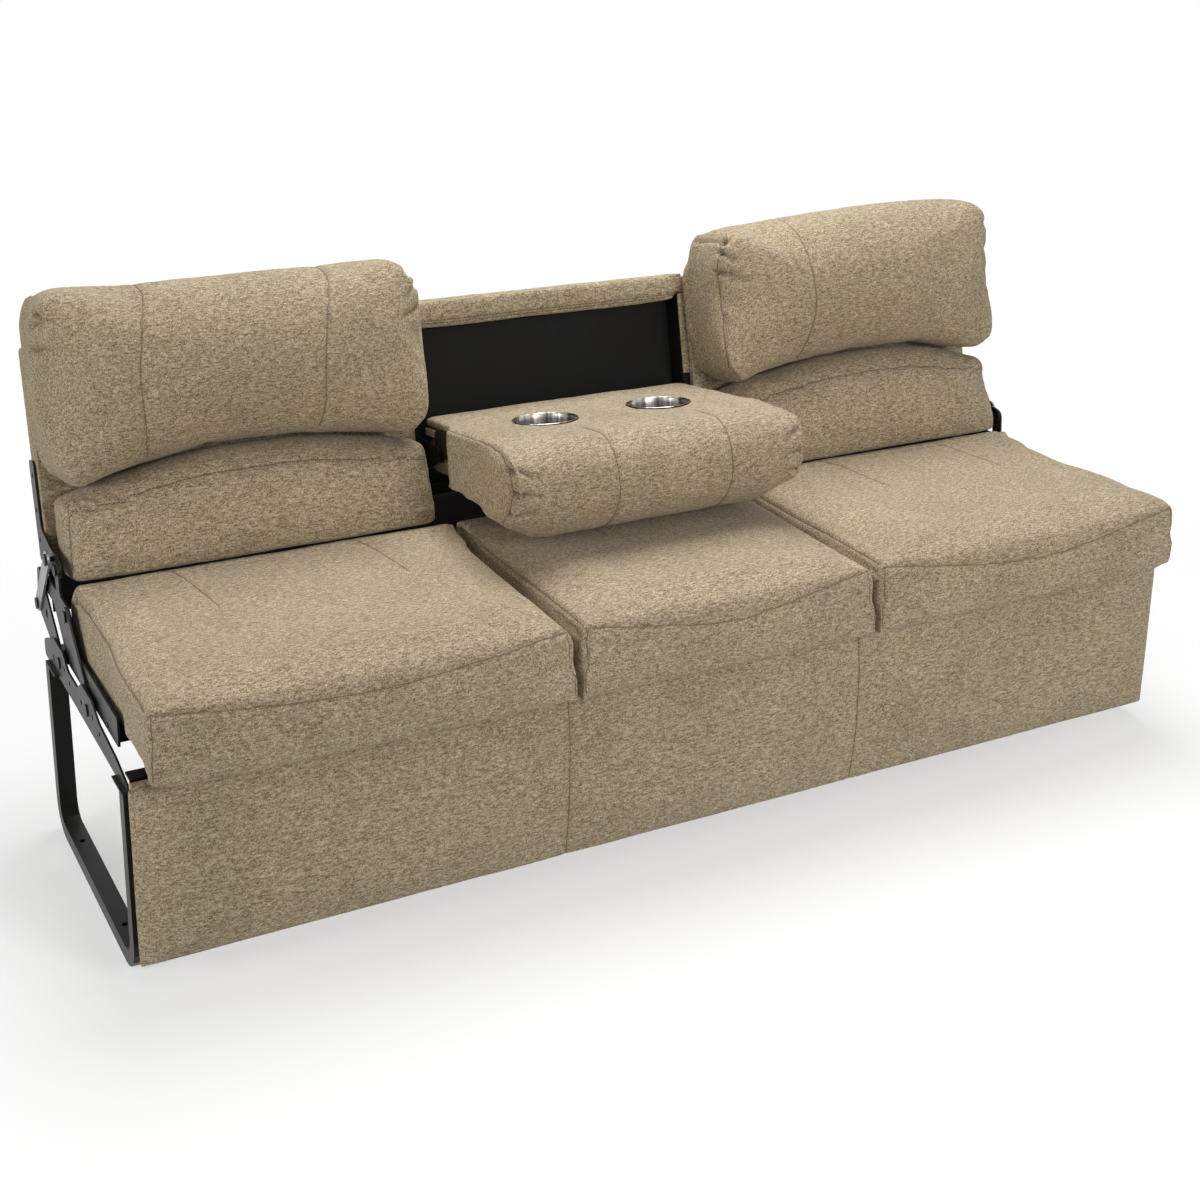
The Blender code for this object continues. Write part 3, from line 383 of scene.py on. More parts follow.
def make_coated(name, colour, dust, rough_span, grain, bump, metallic=0.0, specular=0.5):
    material, tree, shader = new_material(name)
    coat = add_node(tree, "ShaderNodeGroup", node_tree=COAT)
    fill(tree, coat, {
        "Vector": object_place(tree),
        "Coat Colour": (*colour, 1.0),
        "Dust": dust,
        "Smooth": rough_span[0],
        "Rough": rough_span[1],
        "Grain": grain,
    })
    fill(tree, shader, {
        "Base Color": coat.outputs["Colour"],
        "Roughness": coat.outputs["Roughness"],
        "Metallic": metallic,
        "Specular IOR Level": specular,
        "Normal": bumped(tree, coat.outputs["Height"], bump, 0.0004),
    })
    return material


BLACK_STEEL = make_coated("black_satin_steel", (0.009, 0.009, 0.008), 0.03, (0.32, 0.48), 900.0, 0.18,
                          specular=0.20)
BLACK_PANEL = make_coated("black_well_board", (0.0050, 0.0050, 0.0048), 0.03, (0.55, 0.75), 420.0, 0.35,
                          specular=0.12)
ZINC = make_coated("zinc_plate", (0.30, 0.30, 0.31), 0.35, (0.28, 0.50), 700.0, 0.15, metallic=1.0)
print("coatings", BLACK_STEEL.name, BLACK_PANEL.name, ZINC.name)

# %% [markdown]
# Timber shows only under the seat and behind the valance. Stretched noise gives its grain, long along X
# for the plywood sheets and the rails, which are sawn along the bench.

# %% Timber and stainless steel


def make_timber(name, pale, dark, stretch):
    material, tree, shader = new_material(name)
    place = object_place(tree)
    fibre = add_noise(tree, stretched(tree, place, stretch), 1.0, 5.0, 0.62)
    pore = add_noise(tree, stretched(tree, place, tuple(6.0 * s for s in stretch)), 1.0)
    fill(tree, shader, {
        "Base Color": mix_colour(tree, ramp(tree, fibre, 0.32, 0.68), (*dark, 1.0), (*pale, 1.0)),
        "Roughness": ramp(tree, pore, -0.9, 1.6),
        "Normal": bumped(tree, pore, 0.2, 0.0006),
    })
    return material


def make_brushed():
    """Stainless turned in a lathe: fine rings on the unrolled wall, dark upright stripes on it that are painted
    reflection, and a few smudges.
    """
    material, tree, shader = new_material("brushed_stainless")
    unrolled = add_node(tree, "ShaderNodeUVMap", uv_map="unrolled").outputs["UV"]
    rings = add_noise(tree, stretched(tree, unrolled, (3.0, 2600.0, 1.0)), 1.0, 2.0, 0.6)
    # Painted reflection: upright stripes mix a dark colour into the steel's base colour.
    painted_reflection_bands = add_noise(tree, stretched(tree, unrolled, (26.0, 3.0, 1.0)), 1.0, 2.0, 0.55)
    smudge = add_noise(tree, object_place(tree), 55.0)
    steel = mix_colour(tree, rings, (0.46, 0.45, 0.42, 1.0), (0.72, 0.71, 0.68, 1.0))
    fill(tree, shader, {
        "Base Color": mix_colour(tree, ramp(tree, painted_reflection_bands, 0.40, 0.58), (0.16, 0.15, 0.135, 1.0), steel),
        "Roughness": math_node(tree, "MULTIPLY_ADD", smudge, 0.16, 0.22),
        "Metallic": 1.0,
        "Normal": bumped(tree, rings, 0.25, 0.0002),
    })
    return material


PLYWOOD = make_timber("plywood", (0.52, 0.38, 0.23), (0.36, 0.24, 0.13), (6.0, 90.0, 90.0))
PINE = make_timber("planed_pine", (0.60, 0.45, 0.27), (0.44, 0.29, 0.15), (5.0, 60.0, 60.0))
STAINLESS = make_brushed()

SLOT_FINISH = {
    "black_steel": BLACK_STEEL,
    "zinc_steel": ZINC,
    "plywood": PLYWOOD,
    "pine": PINE,
    "black_panel": BLACK_PANEL,
    "tweed": TWEED,
    "stainless": STAINLESS,
}
for subpart in frame["record"]["subparts"]:
    nodes[subpart["node"]].data.materials.clear()
    nodes[subpart["node"]].data.materials.append(SLOT_FINISH[subpart["material_slot"]])
for name in ("left_back_board", "right_back_board", "console_board"):
    nodes[name].data.materials[0] = TWEED

# %% [markdown]
# ## Frames of the back and the console
#
# The back leans 12 degrees and the lowered console 8 degrees, each about its own hinge. Seams are easiest
# to place in those leaning frames, so small functions turn (x, depth, height) there into the sofa's own
# coordinates, and a cushion's points the other way.

# %% Leaning frames
BACK_LEAN = math.radians(12.0)
CONSOLE_LEAN = math.radians(8.0)
HINGES = {joint["name"]: Vector(joint["pos_m"]) for joint in frame["joints"]}
BACK_HINGE = HINGES["back_fold"]
CONSOLE_HINGE = HINGES["console_fold"]


def leaning(hinge, lean):
    """The matrix from a leaning frame at a hinge to the sofa's frame."""
    return Matrix.Translation(hinge) @ Matrix.Rotation(-lean, 4, "X")


FRAMES = {
    "back": leaning(BACK_HINGE, BACK_LEAN),
    "console": leaning(CONSOLE_HINGE, CONSOLE_LEAN),
    "seat": Matrix.Identity(4),
    "base": Matrix.Identity(4),
}


def lay(points, body):
    """Points of a body's own frame in the sofa's frame."""
    return [FRAMES[body] @ Vector(point) for point in points]


print("back hinge", [round(v, 4) for v in BACK_HINGE], "console hinge", [round(v, 4) for v in CONSOLE_HINGE])

# %% [markdown]
# ## From solid to cushion
#
# Every padded solid already has its crown and its place. To make it read as cloth over foam, a merged
# copy gets an even skin by a voxel remesh, is eased into its sewn shape, shrinks a little, and is blown
# up again as cloth under a light pressure while the parts that rest on boards are held. How far it may
# move is capped, and the room that it has keeps it off its neighbours. All cushions are simulated side by
# side, which uses every core.

# %% Even skins


def keep_result(piece):
    """Make what the modifiers give the piece's own mesh."""
    graph = bpy.context.evaluated_depsgraph_get()
    mesh = bpy.data.meshes.new_from_object(piece.evaluated_get(graph))
    old = piece.data
    piece.modifiers.clear()
    piece.data = mesh
    bpy.data.meshes.remove(old)
    mesh.name = piece.name


def reshape(piece, name, kind, **settings):
    """Add one modifier with its settings and keep the result."""
    modifier = piece.modifiers.new(name, kind)
    for label, value in settings.items():
        setattr(modifier, label, value)
    keep_result(piece)


def add_block(builder, low, high, body, sign=1):
    """A box in the body's frame, mirrored in x where the sign is minus one."""
    low, high = Vector(low), Vector(high)
    for vert in bmesh.ops.create_cube(builder, size=1.0)["verts"]:
        spot = (low + high) / 2 + vert.co * (high - low)
        vert.co = FRAMES[body] @ Vector((sign * spot.x, spot.y, spot.z))


def close_mesh(builder, mesh):
    builder.to_mesh(mesh)
    builder.free()


def merged_copy(name, node_names, body, blocks=()):
    """Merged copies of soft solids as one new object, with blocks (low, high) in the body's frame."""
    builder = bmesh.new()
    for node in node_names:
        builder.from_mesh(nodes[node].data)
    bmesh.ops.remove_doubles(builder, verts=builder.verts[:], dist=0.00001)
    for low, high in blocks:
        add_block(builder, low, high, body)
    mesh = bpy.data.meshes.new(name)
    close_mesh(builder, mesh)
    return link_new(name, mesh)


def even_skin(piece, voxel):
    reshape(piece, "even skin", "REMESH", mode="VOXEL", voxel_size=voxel, use_smooth_shade=True)
    reshape(piece, "ease steps", "SMOOTH", factor=0.5, iterations=4)


# %% Points as arrays


def read_rows(mesh, label="co"):
    """A mesh's points, or its normals, as rows of an array."""
    values = np.empty(len(mesh.vertices) * 3)
    mesh.vertices.foreach_get(label, values)
    return values.reshape(-1, 3)


def write_points(mesh, points):
    mesh.vertices.foreach_set("co", points.ravel())
    mesh.update()


def moved(points, matrix):
    matrix = np.array(matrix)
    return points @ matrix[:3, :3].T + matrix[:3, 3]


def in_frame(points, body):
    """Points of the sofa's frame in a body's own frame."""
    return moved(points, FRAMES[body].inverted())


def out_of_frame(points, body):
    return moved(points, FRAMES[body])


def side_sign(points):
    """Minus one for a cushion on the left and one for a cushion on the right."""
    return int(math.copysign(1.0, points[:, 0].mean()))


def smooth_step(value, low, high):
    share = np.clip((value - low) / (high - low), 0.0, 1.0)
    return share * share * (3.0 - 2.0 * share)


def fall(value, low, high):
    """A smooth step down, from one to zero."""
    return 1.0 - smooth_step(value, low, high)


# %% Edges and ends
CORNER_STEPS = 18


def fill_corner(points, axes, signs, centre, power):
    """Push a rounded edge out to a squarer one, in one quadrant of two axes round a centre."""
    across = signs[0] * (points[:, axes[0]] - centre[0])
    along = signs[1] * (points[:, axes[1]] - centre[1])
    inside = (across > 0.0) & (along > 0.0)
    angle = np.arctan2(along, across)
    radius = np.hypot(across, along)
    middles = (np.arange(CORNER_STEPS) + 0.5) * (math.pi / 2) / CORNER_STEPS
    edge = np.empty(CORNER_STEPS)
    for k, middle in enumerate(middles):
        near = inside & (np.abs(angle - middle) < 0.6 * math.pi / 2 / CORNER_STEPS)
        edge[k] = np.percentile(radius[near], 80)
    first, last = edge[0] * math.cos(middles[0]), edge[-1] * math.sin(middles[-1])
    square = ((np.cos(middles) / first) ** power + (np.sin(middles) / last) ** power) ** (-1.0 / power)
    grow = np.where(inside, np.interp(angle, middles, np.maximum(square / edge, 1.0)), 1.0)
    points[:, axes[0]] += signs[0] * across * (grow - 1.0)
    points[:, axes[1]] += signs[1] * along * (grow - 1.0)


def round_corner(points, axes, signs, centre, reach, power):
    """Pull a square corner in to a rounded one, in one quadrant of two axes round a centre."""
    across = np.maximum(signs[0] * (points[:, axes[0]] - centre[0]), 0.0)
    along = np.maximum(signs[1] * (points[:, axes[1]] - centre[1]), 0.0)
    size = ((across / reach[0]) ** power + (along / reach[1]) ** power) ** (1.0 / power)
    share = smooth_step(across / reach[0], 0.0, 0.5) * smooth_step(along / reach[1], 0.0, 0.5)
    shrink = share * (1.0 / np.maximum(size, 1.0) - 1.0)
    points[:, axes[0]] += signs[0] * across * shrink
    points[:, axes[1]] += signs[1] * along * shrink


def soften(piece, share, rounds):
    """Smooth a skin where the share is above zero."""
    group = piece.vertex_groups.new(name="soft")
    for index in np.flatnonzero(share > 0.01):
        group.add([int(index)], float(share[index]), "REPLACE")
    reshape(piece, "soft ends", "SMOOTH", vertex_group="soft", factor=0.5, iterations=rounds)
    piece.vertex_groups.clear()


# %% Blowing up the cushions
PRESSURE = 4.0
LAST_FRAME = 18
SHRINK = 0.0030
CLOTH = {
    "quality": 4,
    "mass": 0.25,
    "tension_stiffness": 14.0,
    "compression_stiffness": 14.0,
    "shear_stiffness": 7.0,
    "bending_stiffness": 1.0,
    "use_pressure": True,
    "uniform_pressure_force": PRESSURE,
    "vertex_group_mass": "held",
    "pin_stiffness": 5.0,
}
cushions = []


def add_cushion(name, node_names, body, voxel, foam, blocks=(), shape=None, cloth=None, hides=(), soft=None):
    """A cushion's skin in its sewn shape, with what the cloth may do: held, room, cap and share."""
    piece = merged_copy(name, node_names, body, blocks)
    even_skin(piece, voxel)
    if shape:
        local = shape(in_frame(read_rows(piece.data), body))
        write_points(piece.data, out_of_frame(local, body))
    if soft:
        soften(piece, soft(in_frame(read_rows(piece.data), body)), 24)
    hidden = [*node_names, *hides]
    cushions.append({"piece": piece, "body": body, "nodes": hidden, "fill": foam, "cloth": cloth})
    print(name, len(piece.data.polygons), "faces before subdivision")


def add_cloth(piece, held):
    """Cloth under pressure, with the held points in a pin group."""
    group = piece.vertex_groups.new(name="held")
    group.add([int(k) for k in np.flatnonzero(held)], 1.0, "REPLACE")
    modifier = piece.modifiers.new("stuffing", "CLOTH")
    for label, value in CLOTH.items():
        setattr(modifier.settings, label, value)
    modifier.settings.effector_weights.gravity = 0.0
    modifier.collision_settings.use_collision = False
    modifier.point_cache.frame_start = 1
    modifier.point_cache.frame_end = LAST_FRAME


def blow_up():
    """Run the cloth on every cushion at once, then keep the moves within each cushion's cap and room."""
    blown = [cushion for cushion in cushions if cushion["cloth"]]
    for cushion in blown:
        piece, cloth = cushion["piece"], cushion["cloth"]
        before = read_rows(piece.data)
        cushion["before"] = before
        held = cloth["held"](in_frame(before, cushion["body"]))
        shrink = np.where(held, 0.0, SHRINK)[:, None]
        write_points(piece.data, before - read_rows(piece.data, "normal") * shrink)
        add_cloth(piece, held)
    for number in range(1, LAST_FRAME + 1):
        scene.frame_set(number)
    graph = bpy.context.evaluated_depsgraph_get()
    for cushion in blown:
        evaluated = cushion["piece"].evaluated_get(graph)
        cushion["after"] = read_rows(evaluated.to_mesh())
        evaluated.to_mesh_clear()
    scene.frame_set(1)
    for cushion in blown:
        piece, cloth, body = cushion["piece"], cushion["cloth"], cushion["body"]
        move = cushion["after"] - cushion["before"]
        length = np.linalg.norm(move, axis=1)
        scale = cloth["share"] * np.minimum(1.0, cloth["cap"] / np.maximum(length, 1e-9))
        local = in_frame(cushion["before"] + move * scale[:, None], body)
        local = cloth["room"](local, in_frame(cushion["before"], body))
        piece.modifiers.clear()
        piece.vertex_groups.clear()
        write_points(piece.data, out_of_frame(local, body))
        print(piece.name, "cloth moved up to", round(1000 * float(length.max()), 1), "mm")


# %% [markdown]
# ### The seat
#
# The seat is one upholstered bench in three sections. Each section is a cushion that rolls over at the
# front and runs down into one lower band, so each visual piece takes in its share of that band as a
# block, and a second block fills its rear edge, where the lumbar pad leans on it. The outer ends reach out
# before and above the bracket, and the front's foot is tucked under and lifts at the outer corners. Only
# the top, the front and the outer end may swell, and only a little, because the foam is firm.

# %% Seat sections
SEAT_VOXEL = 0.0060
SEAT_CREST = 0.4284
SEAT_FRONT = -0.3425
SEAT_END = 0.8604
SEAT_WIDE = {-1: 0.8705, 1: 0.8770}
END_TUCK = {-1: 0.004, 1: 0.011}
SEAT_REAR = 0.1180
OUTER = 0.8
BAND_LAP = 0.012
SKIRT_DROP = 0.0055
CORNER_LIFT = 0.013
SIDE_LIFT = 0.019
CORNER_SPAN = 0.085
band_low, band_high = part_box("seat_front_band")
deck_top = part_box("seat_deck")[1].z


def seat_blocks(node):
    """The section's share of the front band, lapped into the cushion above, and its full rear edge."""
    low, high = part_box(node)
    band = ((low.x, band_low.y + 0.001, band_low.z), (high.x, band_high.y - 0.002, band_high.z + BAND_LAP))
    left = low.x + (0.012 if low.x < -OUTER else 0.002)
    right = high.x - (0.012 if high.x > OUTER else 0.002)
    rear = ((left, 0.030, deck_top + 0.004), (right, SEAT_REAR - 0.001, 0.4215))
    return [band, rear]


def seat_held(points):
    x, y, z = points.T
    top = (z > deck_top + 0.022) & (y < 0.085)
    return ~(top | (y < band_low.y + 0.014) | (np.abs(x) > SEAT_END - 0.012))


def seat_reach(points):
    """How far out an outer end may go: further before the bracket's front and above its plate."""
    _, y, z = points.T
    ahead = fall(y, -0.215, -0.197)
    above = smooth_step(z, 0.353, 0.366) * fall(y, -0.190, -0.062)
    return SEAT_END + (SEAT_WIDE[side_sign(points)] - SEAT_END) * np.maximum(ahead, above)


def skirt_drop(points):
    """How far the front skirt, which is clear of the valance behind it, hangs below the seat."""
    return SKIRT_DROP * fall(points[:, 1], -0.316, -0.300)


def seat_room(points, before):
    low, high = before[:, 0].min(), before[:, 0].max()
    x, y, z = points.T
    z[:] = np.clip(z, band_low.z + 0.0005 - skirt_drop(points), SEAT_CREST)
    y[:] = np.clip(y, SEAT_FRONT, SEAT_REAR)
    reach = seat_reach(points)
    x[:] = np.clip(x, -reach if low < -OUTER else low, reach if high > OUTER else high)
    return points


def shape_seat(points):
    """Full rear and outer front edges, and a rounded foot at the front that lifts at an outer end."""
    x, y, z = points.T
    fill_corner(points, (1, 2), (1, 1), (0.080, 0.385), 7.0)
    z -= skirt_drop(points) * fall(z, band_low.z, 0.345)
    round_corner(points, (1, 2), (-1, -1), (-0.3200, 0.3230), (0.0150, 0.0250), 2.2)
    if np.abs(x).max() > OUTER:
        sign = side_sign(points)
        fill_corner(points, (0, 1), (sign, -1), (sign * 0.800, -0.285), 6.0)
        x += sign * (seat_reach(points) - SEAT_END) * smooth_step(sign * x, 0.800, 0.850)
        tuck = fall(z, 0.316, 0.385) * fall(y, -0.230, -0.195)
        x -= sign * END_TUCK[sign] * tuck * smooth_step(sign * x, 0.790, 0.857)
        near = np.clip(1.0 - (SEAT_WIDE[sign] - sign * x) / CORNER_SPAN, 0.0, 1.0) * fall(y, -0.185, -0.120)
        lift = CORNER_LIFT + (SIDE_LIFT - CORNER_LIFT) * smooth_step(y, -0.315, -0.285)
        z += lift * near ** 2 * fall(z, 0.300, 0.375)
    return points


for side in ("left", "center", "right"):
    node = f"{side}_seat_cushion"
    cloth = {"held": seat_held, "room": seat_room, "cap": 0.012, "share": 0.55}
    add_cushion(f"{side}_seat_cover", [node], "seat", SEAT_VOXEL, 0.85, seat_blocks(node), shape_seat, cloth,
                hides=["seat_front_band"])

# %% [markdown]
# ### The back
#
# Each side of the back has a lumbar pad and a head pillow above it, which press together in an arched
# crease. Their rear faces lie on a board. The lumbar pad's lower front rests on the seat. The pillow's
# ends are boxed: at the outer end the cloth goes round the side of the frame, and at the inner end it
# covers the edge of the board. Blocks add those ends before the remesh.

# %% Lumbar pads
PAD_VOXEL = 0.0055
PAD_REAR = 0.066
LUMBAR_END = 0.8576
LUMBAR_INNER = 0.2580
LUMBAR_FLOOR = -0.0222
LUMBAR_BELLY = 0.019
LUMBAR_SAG = 0.008
PAD_DRAW = 0.008


def side_blocks(side, spans):
    """Blocks of one side from spans of x, depth and height that are given for the right side."""
    sign = -1 if side == "left" else 1
    blocks = []
    for x0, x1, n0, n1, w0, w1 in spans:
        x_low, x_high = sorted((sign * x0, sign * x1))
        blocks.append(((x_low, n0, w0), (x_high, n1, w1)))
    return blocks


def pad_held(points):
    return points[:, 1] > PAD_REAR


CREASE_DIP = {
    -1: ((0.260, 0.360, 0.470, 0.620, 0.720, 0.860), (0.019, 0.016, 0.012, 0.011, 0.018, 0.034)),
    1: ((0.260, 0.360, 0.470, 0.590, 0.700, 0.800, 0.860),
        (0.015, 0.008, 0.003, -0.001, -0.003, 0.006, 0.012)),
}


def crease_dip(points):
    """How far the crease between pad and pillow hangs at each place along the bench."""
    return np.interp(np.abs(points[:, 0]), *CREASE_DIP[side_sign(points)])


def lumbar_held(points):
    return pad_held(points) | (points[:, 2] < -0.012)


def lumbar_belly(points):
    """The pad leans on the seat: its lower front swells forward and down and ends in a full edge."""
    x, y, z = points.T
    y -= LUMBAR_BELLY * fall(y, -0.010, 0.050) * fall(z, -0.010, 0.105)
    z -= LUMBAR_SAG * fall(z, -0.015, 0.050)
    fill_corner(points, (1, 2), (-1, -1), (0.030, 0.035), 5.0)
    z[:] = np.maximum(z, LUMBAR_FLOOR)
    z -= crease_dip(points) * smooth_step(z, 0.070, 0.145)
    width = np.abs(x)
    draw = PAD_DRAW * (1.0 - smooth_step(width, 0.270, 0.340) - smooth_step(width, 0.790, 0.850))
    x += np.sign(x) * draw
    return points


def lumbar_room(points, before):
    x, y, z = points.T
    x[:] = np.sign(before[:, 0]) * np.clip(np.abs(x), LUMBAR_INNER, LUMBAR_END)
    y[:] = np.minimum(y, before[:, 1].max())
    z[:] = np.maximum(z, LUMBAR_FLOOR)
    z[:] = np.where(before[:, 2] > 0.06, np.minimum(z, before[:, 2] + 0.0006), z)
    return points


for side in ("left", "right"):
    cloth = {"held": lumbar_held, "room": lumbar_room, "cap": 0.016, "share": 0.7}
    add_cushion(f"{side}_lumbar_cover", [f"{side}_lumbar_pad"], "back", PAD_VOXEL, 0.75,
                shape=lumbar_belly, cloth=cloth)

# %% Head pillows
PILLOW_END = 0.8640
PILLOW_INNER = 0.2562
BRACKET_CLEAR = 0.8568
PILLOW_CREST = 0.4260
PILLOW_WRAP = (
    (0.842, 0.8610, -0.018, 0.0885, 0.152, 0.384),
    (0.2654, 0.290, -0.012, 0.0770, 0.154, 0.386),
    (0.2566, 0.2632, 0.0700, 0.0838, 0.154, 0.335),
)


def pillow_room(points, before):
    x, y, z = points.T
    out, height = np.sign(before[:, 0]), before[:, 2]
    x[:] = out * np.clip(np.abs(x), PILLOW_INNER, PILLOW_END)
    y[:] = np.minimum(y, np.maximum(before[:, 1], 0.0770))
    z[:] = np.where(height < 0.26, np.maximum(z, height - 0.0010), z)
    z[:] = np.minimum(z, PILLOW_CREST)
    x[:] = np.where((z < 0.153) & (np.abs(x) > BRACKET_CLEAR), out * BRACKET_CLEAR, x)
    return points


PILLOW_LIFT = {
    -1: ((0.256, 0.300, 0.430, 0.720, 0.820, 0.864), (0.009, 0.009, 0.0, 0.0, 0.013, 0.013)),
    1: ((0.256, 0.300, 0.360, 0.480, 0.590, 0.730, 0.864),
        (0.008, 0.006, 0.004, 0.009, 0.014, 0.018, 0.018)),
}
PILLOW_CORNERS = (
    (1, 1, (0.806, 0.322), (0.055, 0.088)),
    (1, -1, (0.820, 0.235), (0.041, 0.083)),
    (-1, 1, (0.340, 0.305), (0.075, 0.103)),
    (-1, -1, (0.300, 0.235), (0.036, 0.081)),
)


def round_pillow(points):
    """Round the four corners that the pillow shows from the front."""
    x, _, z = points.T
    sign = side_sign(points)
    z += np.interp(np.abs(x), *PILLOW_LIFT[sign]) * smooth_step(z, 0.280, 0.390)
    for out, up, centre, reach in PILLOW_CORNERS:
        round_corner(points, (0, 2), (sign * out, up), (sign * centre[0], centre[1]), reach, 2.3)
    z -= crease_dip(points) * fall(z, 0.150, 0.260)
    return points


def pillow_ends(points):
    """How far each point belongs to a gathered end."""
    width = np.abs(points[:, 0])
    ends = np.maximum(smooth_step(width, 0.790, 0.850), fall(width, 0.268, 0.330))
    return ends * fall(points[:, 1], 0.045, 0.068)


for side in ("left", "right"):
    cloth = {"held": pad_held, "room": pillow_room, "cap": 0.026, "share": 0.75}
    add_cushion(f"{side}_pillow_cover", [f"{side}_head_pillow"], "back", PAD_VOXEL, 0.85,
                side_blocks(side, PILLOW_WRAP), round_pillow, cloth, soft=pillow_ends)

# %% [markdown]
# ### The console
#
# The middle of the back folds down. Its padded top with the two cups runs over a full front roll without
# a break, so one cover stands for both the top pad and the pillow. A block fills the roll, which is then
# trimmed to an oval section, and blocks at both ends take the cloth round the board and the hinge arms.
# The top is held flat under the cups and the roll swells forward, down and at its ends, short of the
# pillows beside it and of the seat below.

# %% Console cover and its lumbar pad
CONSOLE_VOXEL = 0.0050
CUP_FACE = 0.0535
CONSOLE_SIDE = 0.2431
CONSOLE_BULGE = 0.2552
HINGE_CLEAR = -0.045
CONSOLE_NOSE = -0.3200
CONSOLE_FLOOR = 0.4302
ROLL_CENTRE = (-0.203, -0.019)
ROLL_REACH, ROLL_RISE, ROLL_DROP = 0.114, 0.0722, 0.090
UNDERSIDE = ((-0.203, -0.160, -0.103, -0.050), (-0.112, -0.089, -0.066, -0.046))
END_UNDERSIDE = ((-0.290, -0.233, -0.103, -0.045), (-0.070, -0.078, -0.057, -0.040))
CUP_PLACES = ((-0.103, -0.104), (0.103, -0.104))
CUP_OPENING = 0.0522
CONSOLE_BLOCKS = (
    ((-0.2530, -0.318, -0.1035), (0.2530, -0.160, 0.0530)),
    ((-0.2545, -0.300, -0.090), (-0.225, HINGE_CLEAR - 0.002, 0.0505)),
    ((0.225, -0.300, -0.090), (0.2545, HINGE_CLEAR - 0.002, 0.0505)),
)


def shape_console(points):
    """Trim the roll to an oval that shrinks towards its ends, and open the cloth round the cups."""
    x, y, z = points.T
    back, up = y - ROLL_CENTRE[0], z - ROLL_CENTRE[1]
    ends = smooth_step(np.abs(x), 0.165, 0.262)
    size = 1.0 - (0.05 + 0.10 * smooth_step(-up, 0.0, 0.05)) * ends
    rise = np.where(up > 0, ROLL_RISE, ROLL_DROP) * size
    power = np.where(up > 0, 3.4, 1.9)
    ahead = np.maximum(-back, 0.0) / (ROLL_REACH * size)
    beyond = np.maximum((ahead ** power + (np.abs(up) / rise) ** power) ** (1.0 / power), 1.0)
    share = smooth_step(-back, 0.0, 0.035)
    y += share * (back / beyond - back)
    z += share * (up / beyond - up)
    floor = np.interp(y, *UNDERSIDE)
    floor += smooth_step(np.abs(x), 0.17, 0.25) * (np.interp(y, *END_UNDERSIDE) - floor)
    z[:] = np.maximum(z, floor)
    for cup in CUP_PLACES:
        away = points[:, :2] - cup
        gap = np.maximum(np.linalg.norm(away, axis=1), 1e-6)
        pushed = np.where((gap < CUP_OPENING) & (z > 0.0), CUP_OPENING / gap, 1.0)
        points[:, :2] = cup + away * pushed[:, None]
    return points


def console_ends(points):
    """How far each point belongs to a rounded end."""
    return smooth_step(np.abs(points[:, 0]), 0.195, 0.238) * fall(points[:, 1], -0.085, -0.055)


def console_held(points):
    _, y, z = points.T
    return ((z > CUP_FACE - 0.012) & (y > -0.200)) | (y > -0.060)


def console_room(points, before):
    x, y, z = points.T
    limit = np.where(before[:, 1] < HINGE_CLEAR, CONSOLE_BULGE, CONSOLE_SIDE)
    x[:] = np.clip(x, -limit, limit)
    y[:] = np.maximum(y, CONSOLE_NOSE)
    z[:] = np.minimum(z, CUP_FACE + 0.0003)
    world = out_of_frame(points, "console")
    world[:, 2] = np.maximum(world[:, 2], CONSOLE_FLOOR)
    return in_frame(world, "console")


def console_pad_held(points):
    return points[:, 2] > -0.02


def console_pad_room(points, before):
    x, y, _ = points.T
    x[:] = np.clip(x, -CONSOLE_SIDE, CONSOLE_SIDE)
    y[:] = np.clip(y, before[:, 1].min(), before[:, 1].max())
    return points


add_cushion("console_cover", ["console_top_pad", "console_pillow"], "console", CONSOLE_VOXEL, 0.85,
            CONSOLE_BLOCKS, shape_console,
            {"held": console_held, "room": console_room, "cap": 0.018, "share": 0.6}, soft=console_ends)
add_cushion("console_lumbar_cover", ["console_lumbar_pad"], "console", PAD_VOXEL, 0.7,
            cloth={"held": console_pad_held, "room": console_pad_room, "cap": 0.010, "share": 0.7})

# %% [markdown]
# ### The valance and the top rail
#
# The front panel is a thin pad on a board, with two upright seams under the divisions of the seat. The
# rail over the well has a thin pad that turns over its top. It is too thin to blow up, so it keeps its
# remeshed form and runs on at both ends to the pillows.

# %% Valance and rail pad
VALANCE_VOXEL = 0.0075
RAIL_VOXEL = 0.0040
RAIL_END_BLOCKS = (
    (0.240, 0.2624, 0.0850, 0.0988, 0.290, 0.3235),
    (0.240, 0.2624, 0.0850, 0.1295, 0.3188, 0.3245),
)
valance_low, valance_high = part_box("valance_pad")


def valance_held(points):
    return points[:, 1] > valance_low.y + 0.010


def valance_room(points, before):
    low = np.array(valance_low) - (0.001, 0.004, 0.003)
    return np.clip(points, low, np.array(valance_high) + (0.001, 0.0, 0.0))


add_cushion("valance_cover", ["valance_pad"], "base", VALANCE_VOXEL, 0.5,
            cloth={"held": valance_held, "room": valance_room, "cap": 0.006, "share": 0.8})
rail_blocks = side_blocks("left", RAIL_END_BLOCKS) + side_blocks("right", RAIL_END_BLOCKS)
add_cushion("rail_cover", ["top_rail_pad"], "back", RAIL_VOXEL, 0.4, rail_blocks)
blow_up()

# %% [markdown]
# ## Seams, darts and pleats
#
# A seam pulls the cloth into a narrow groove with a dark line of thread in it, and that line is also
# painted shade of the groove; a dart is a short sewn tuck, and at a pillow's corner the spare cloth
# gathers in pleats. Each is a line laid on the finished skin: points near it sink along their normals by
# a bell curve, which fades along a dart or pleat, and are darkened in the seam attribute as painted
# shade in the groove, most of all in a pleat. One subdivision first gives the skin enough points.

# %% Ripples and subdivision
RIPPLE = 0.0012
RIPPLE_SIZE = 0.085
PUCKER = 0.0005
PUCKER_SIZE = 0.024


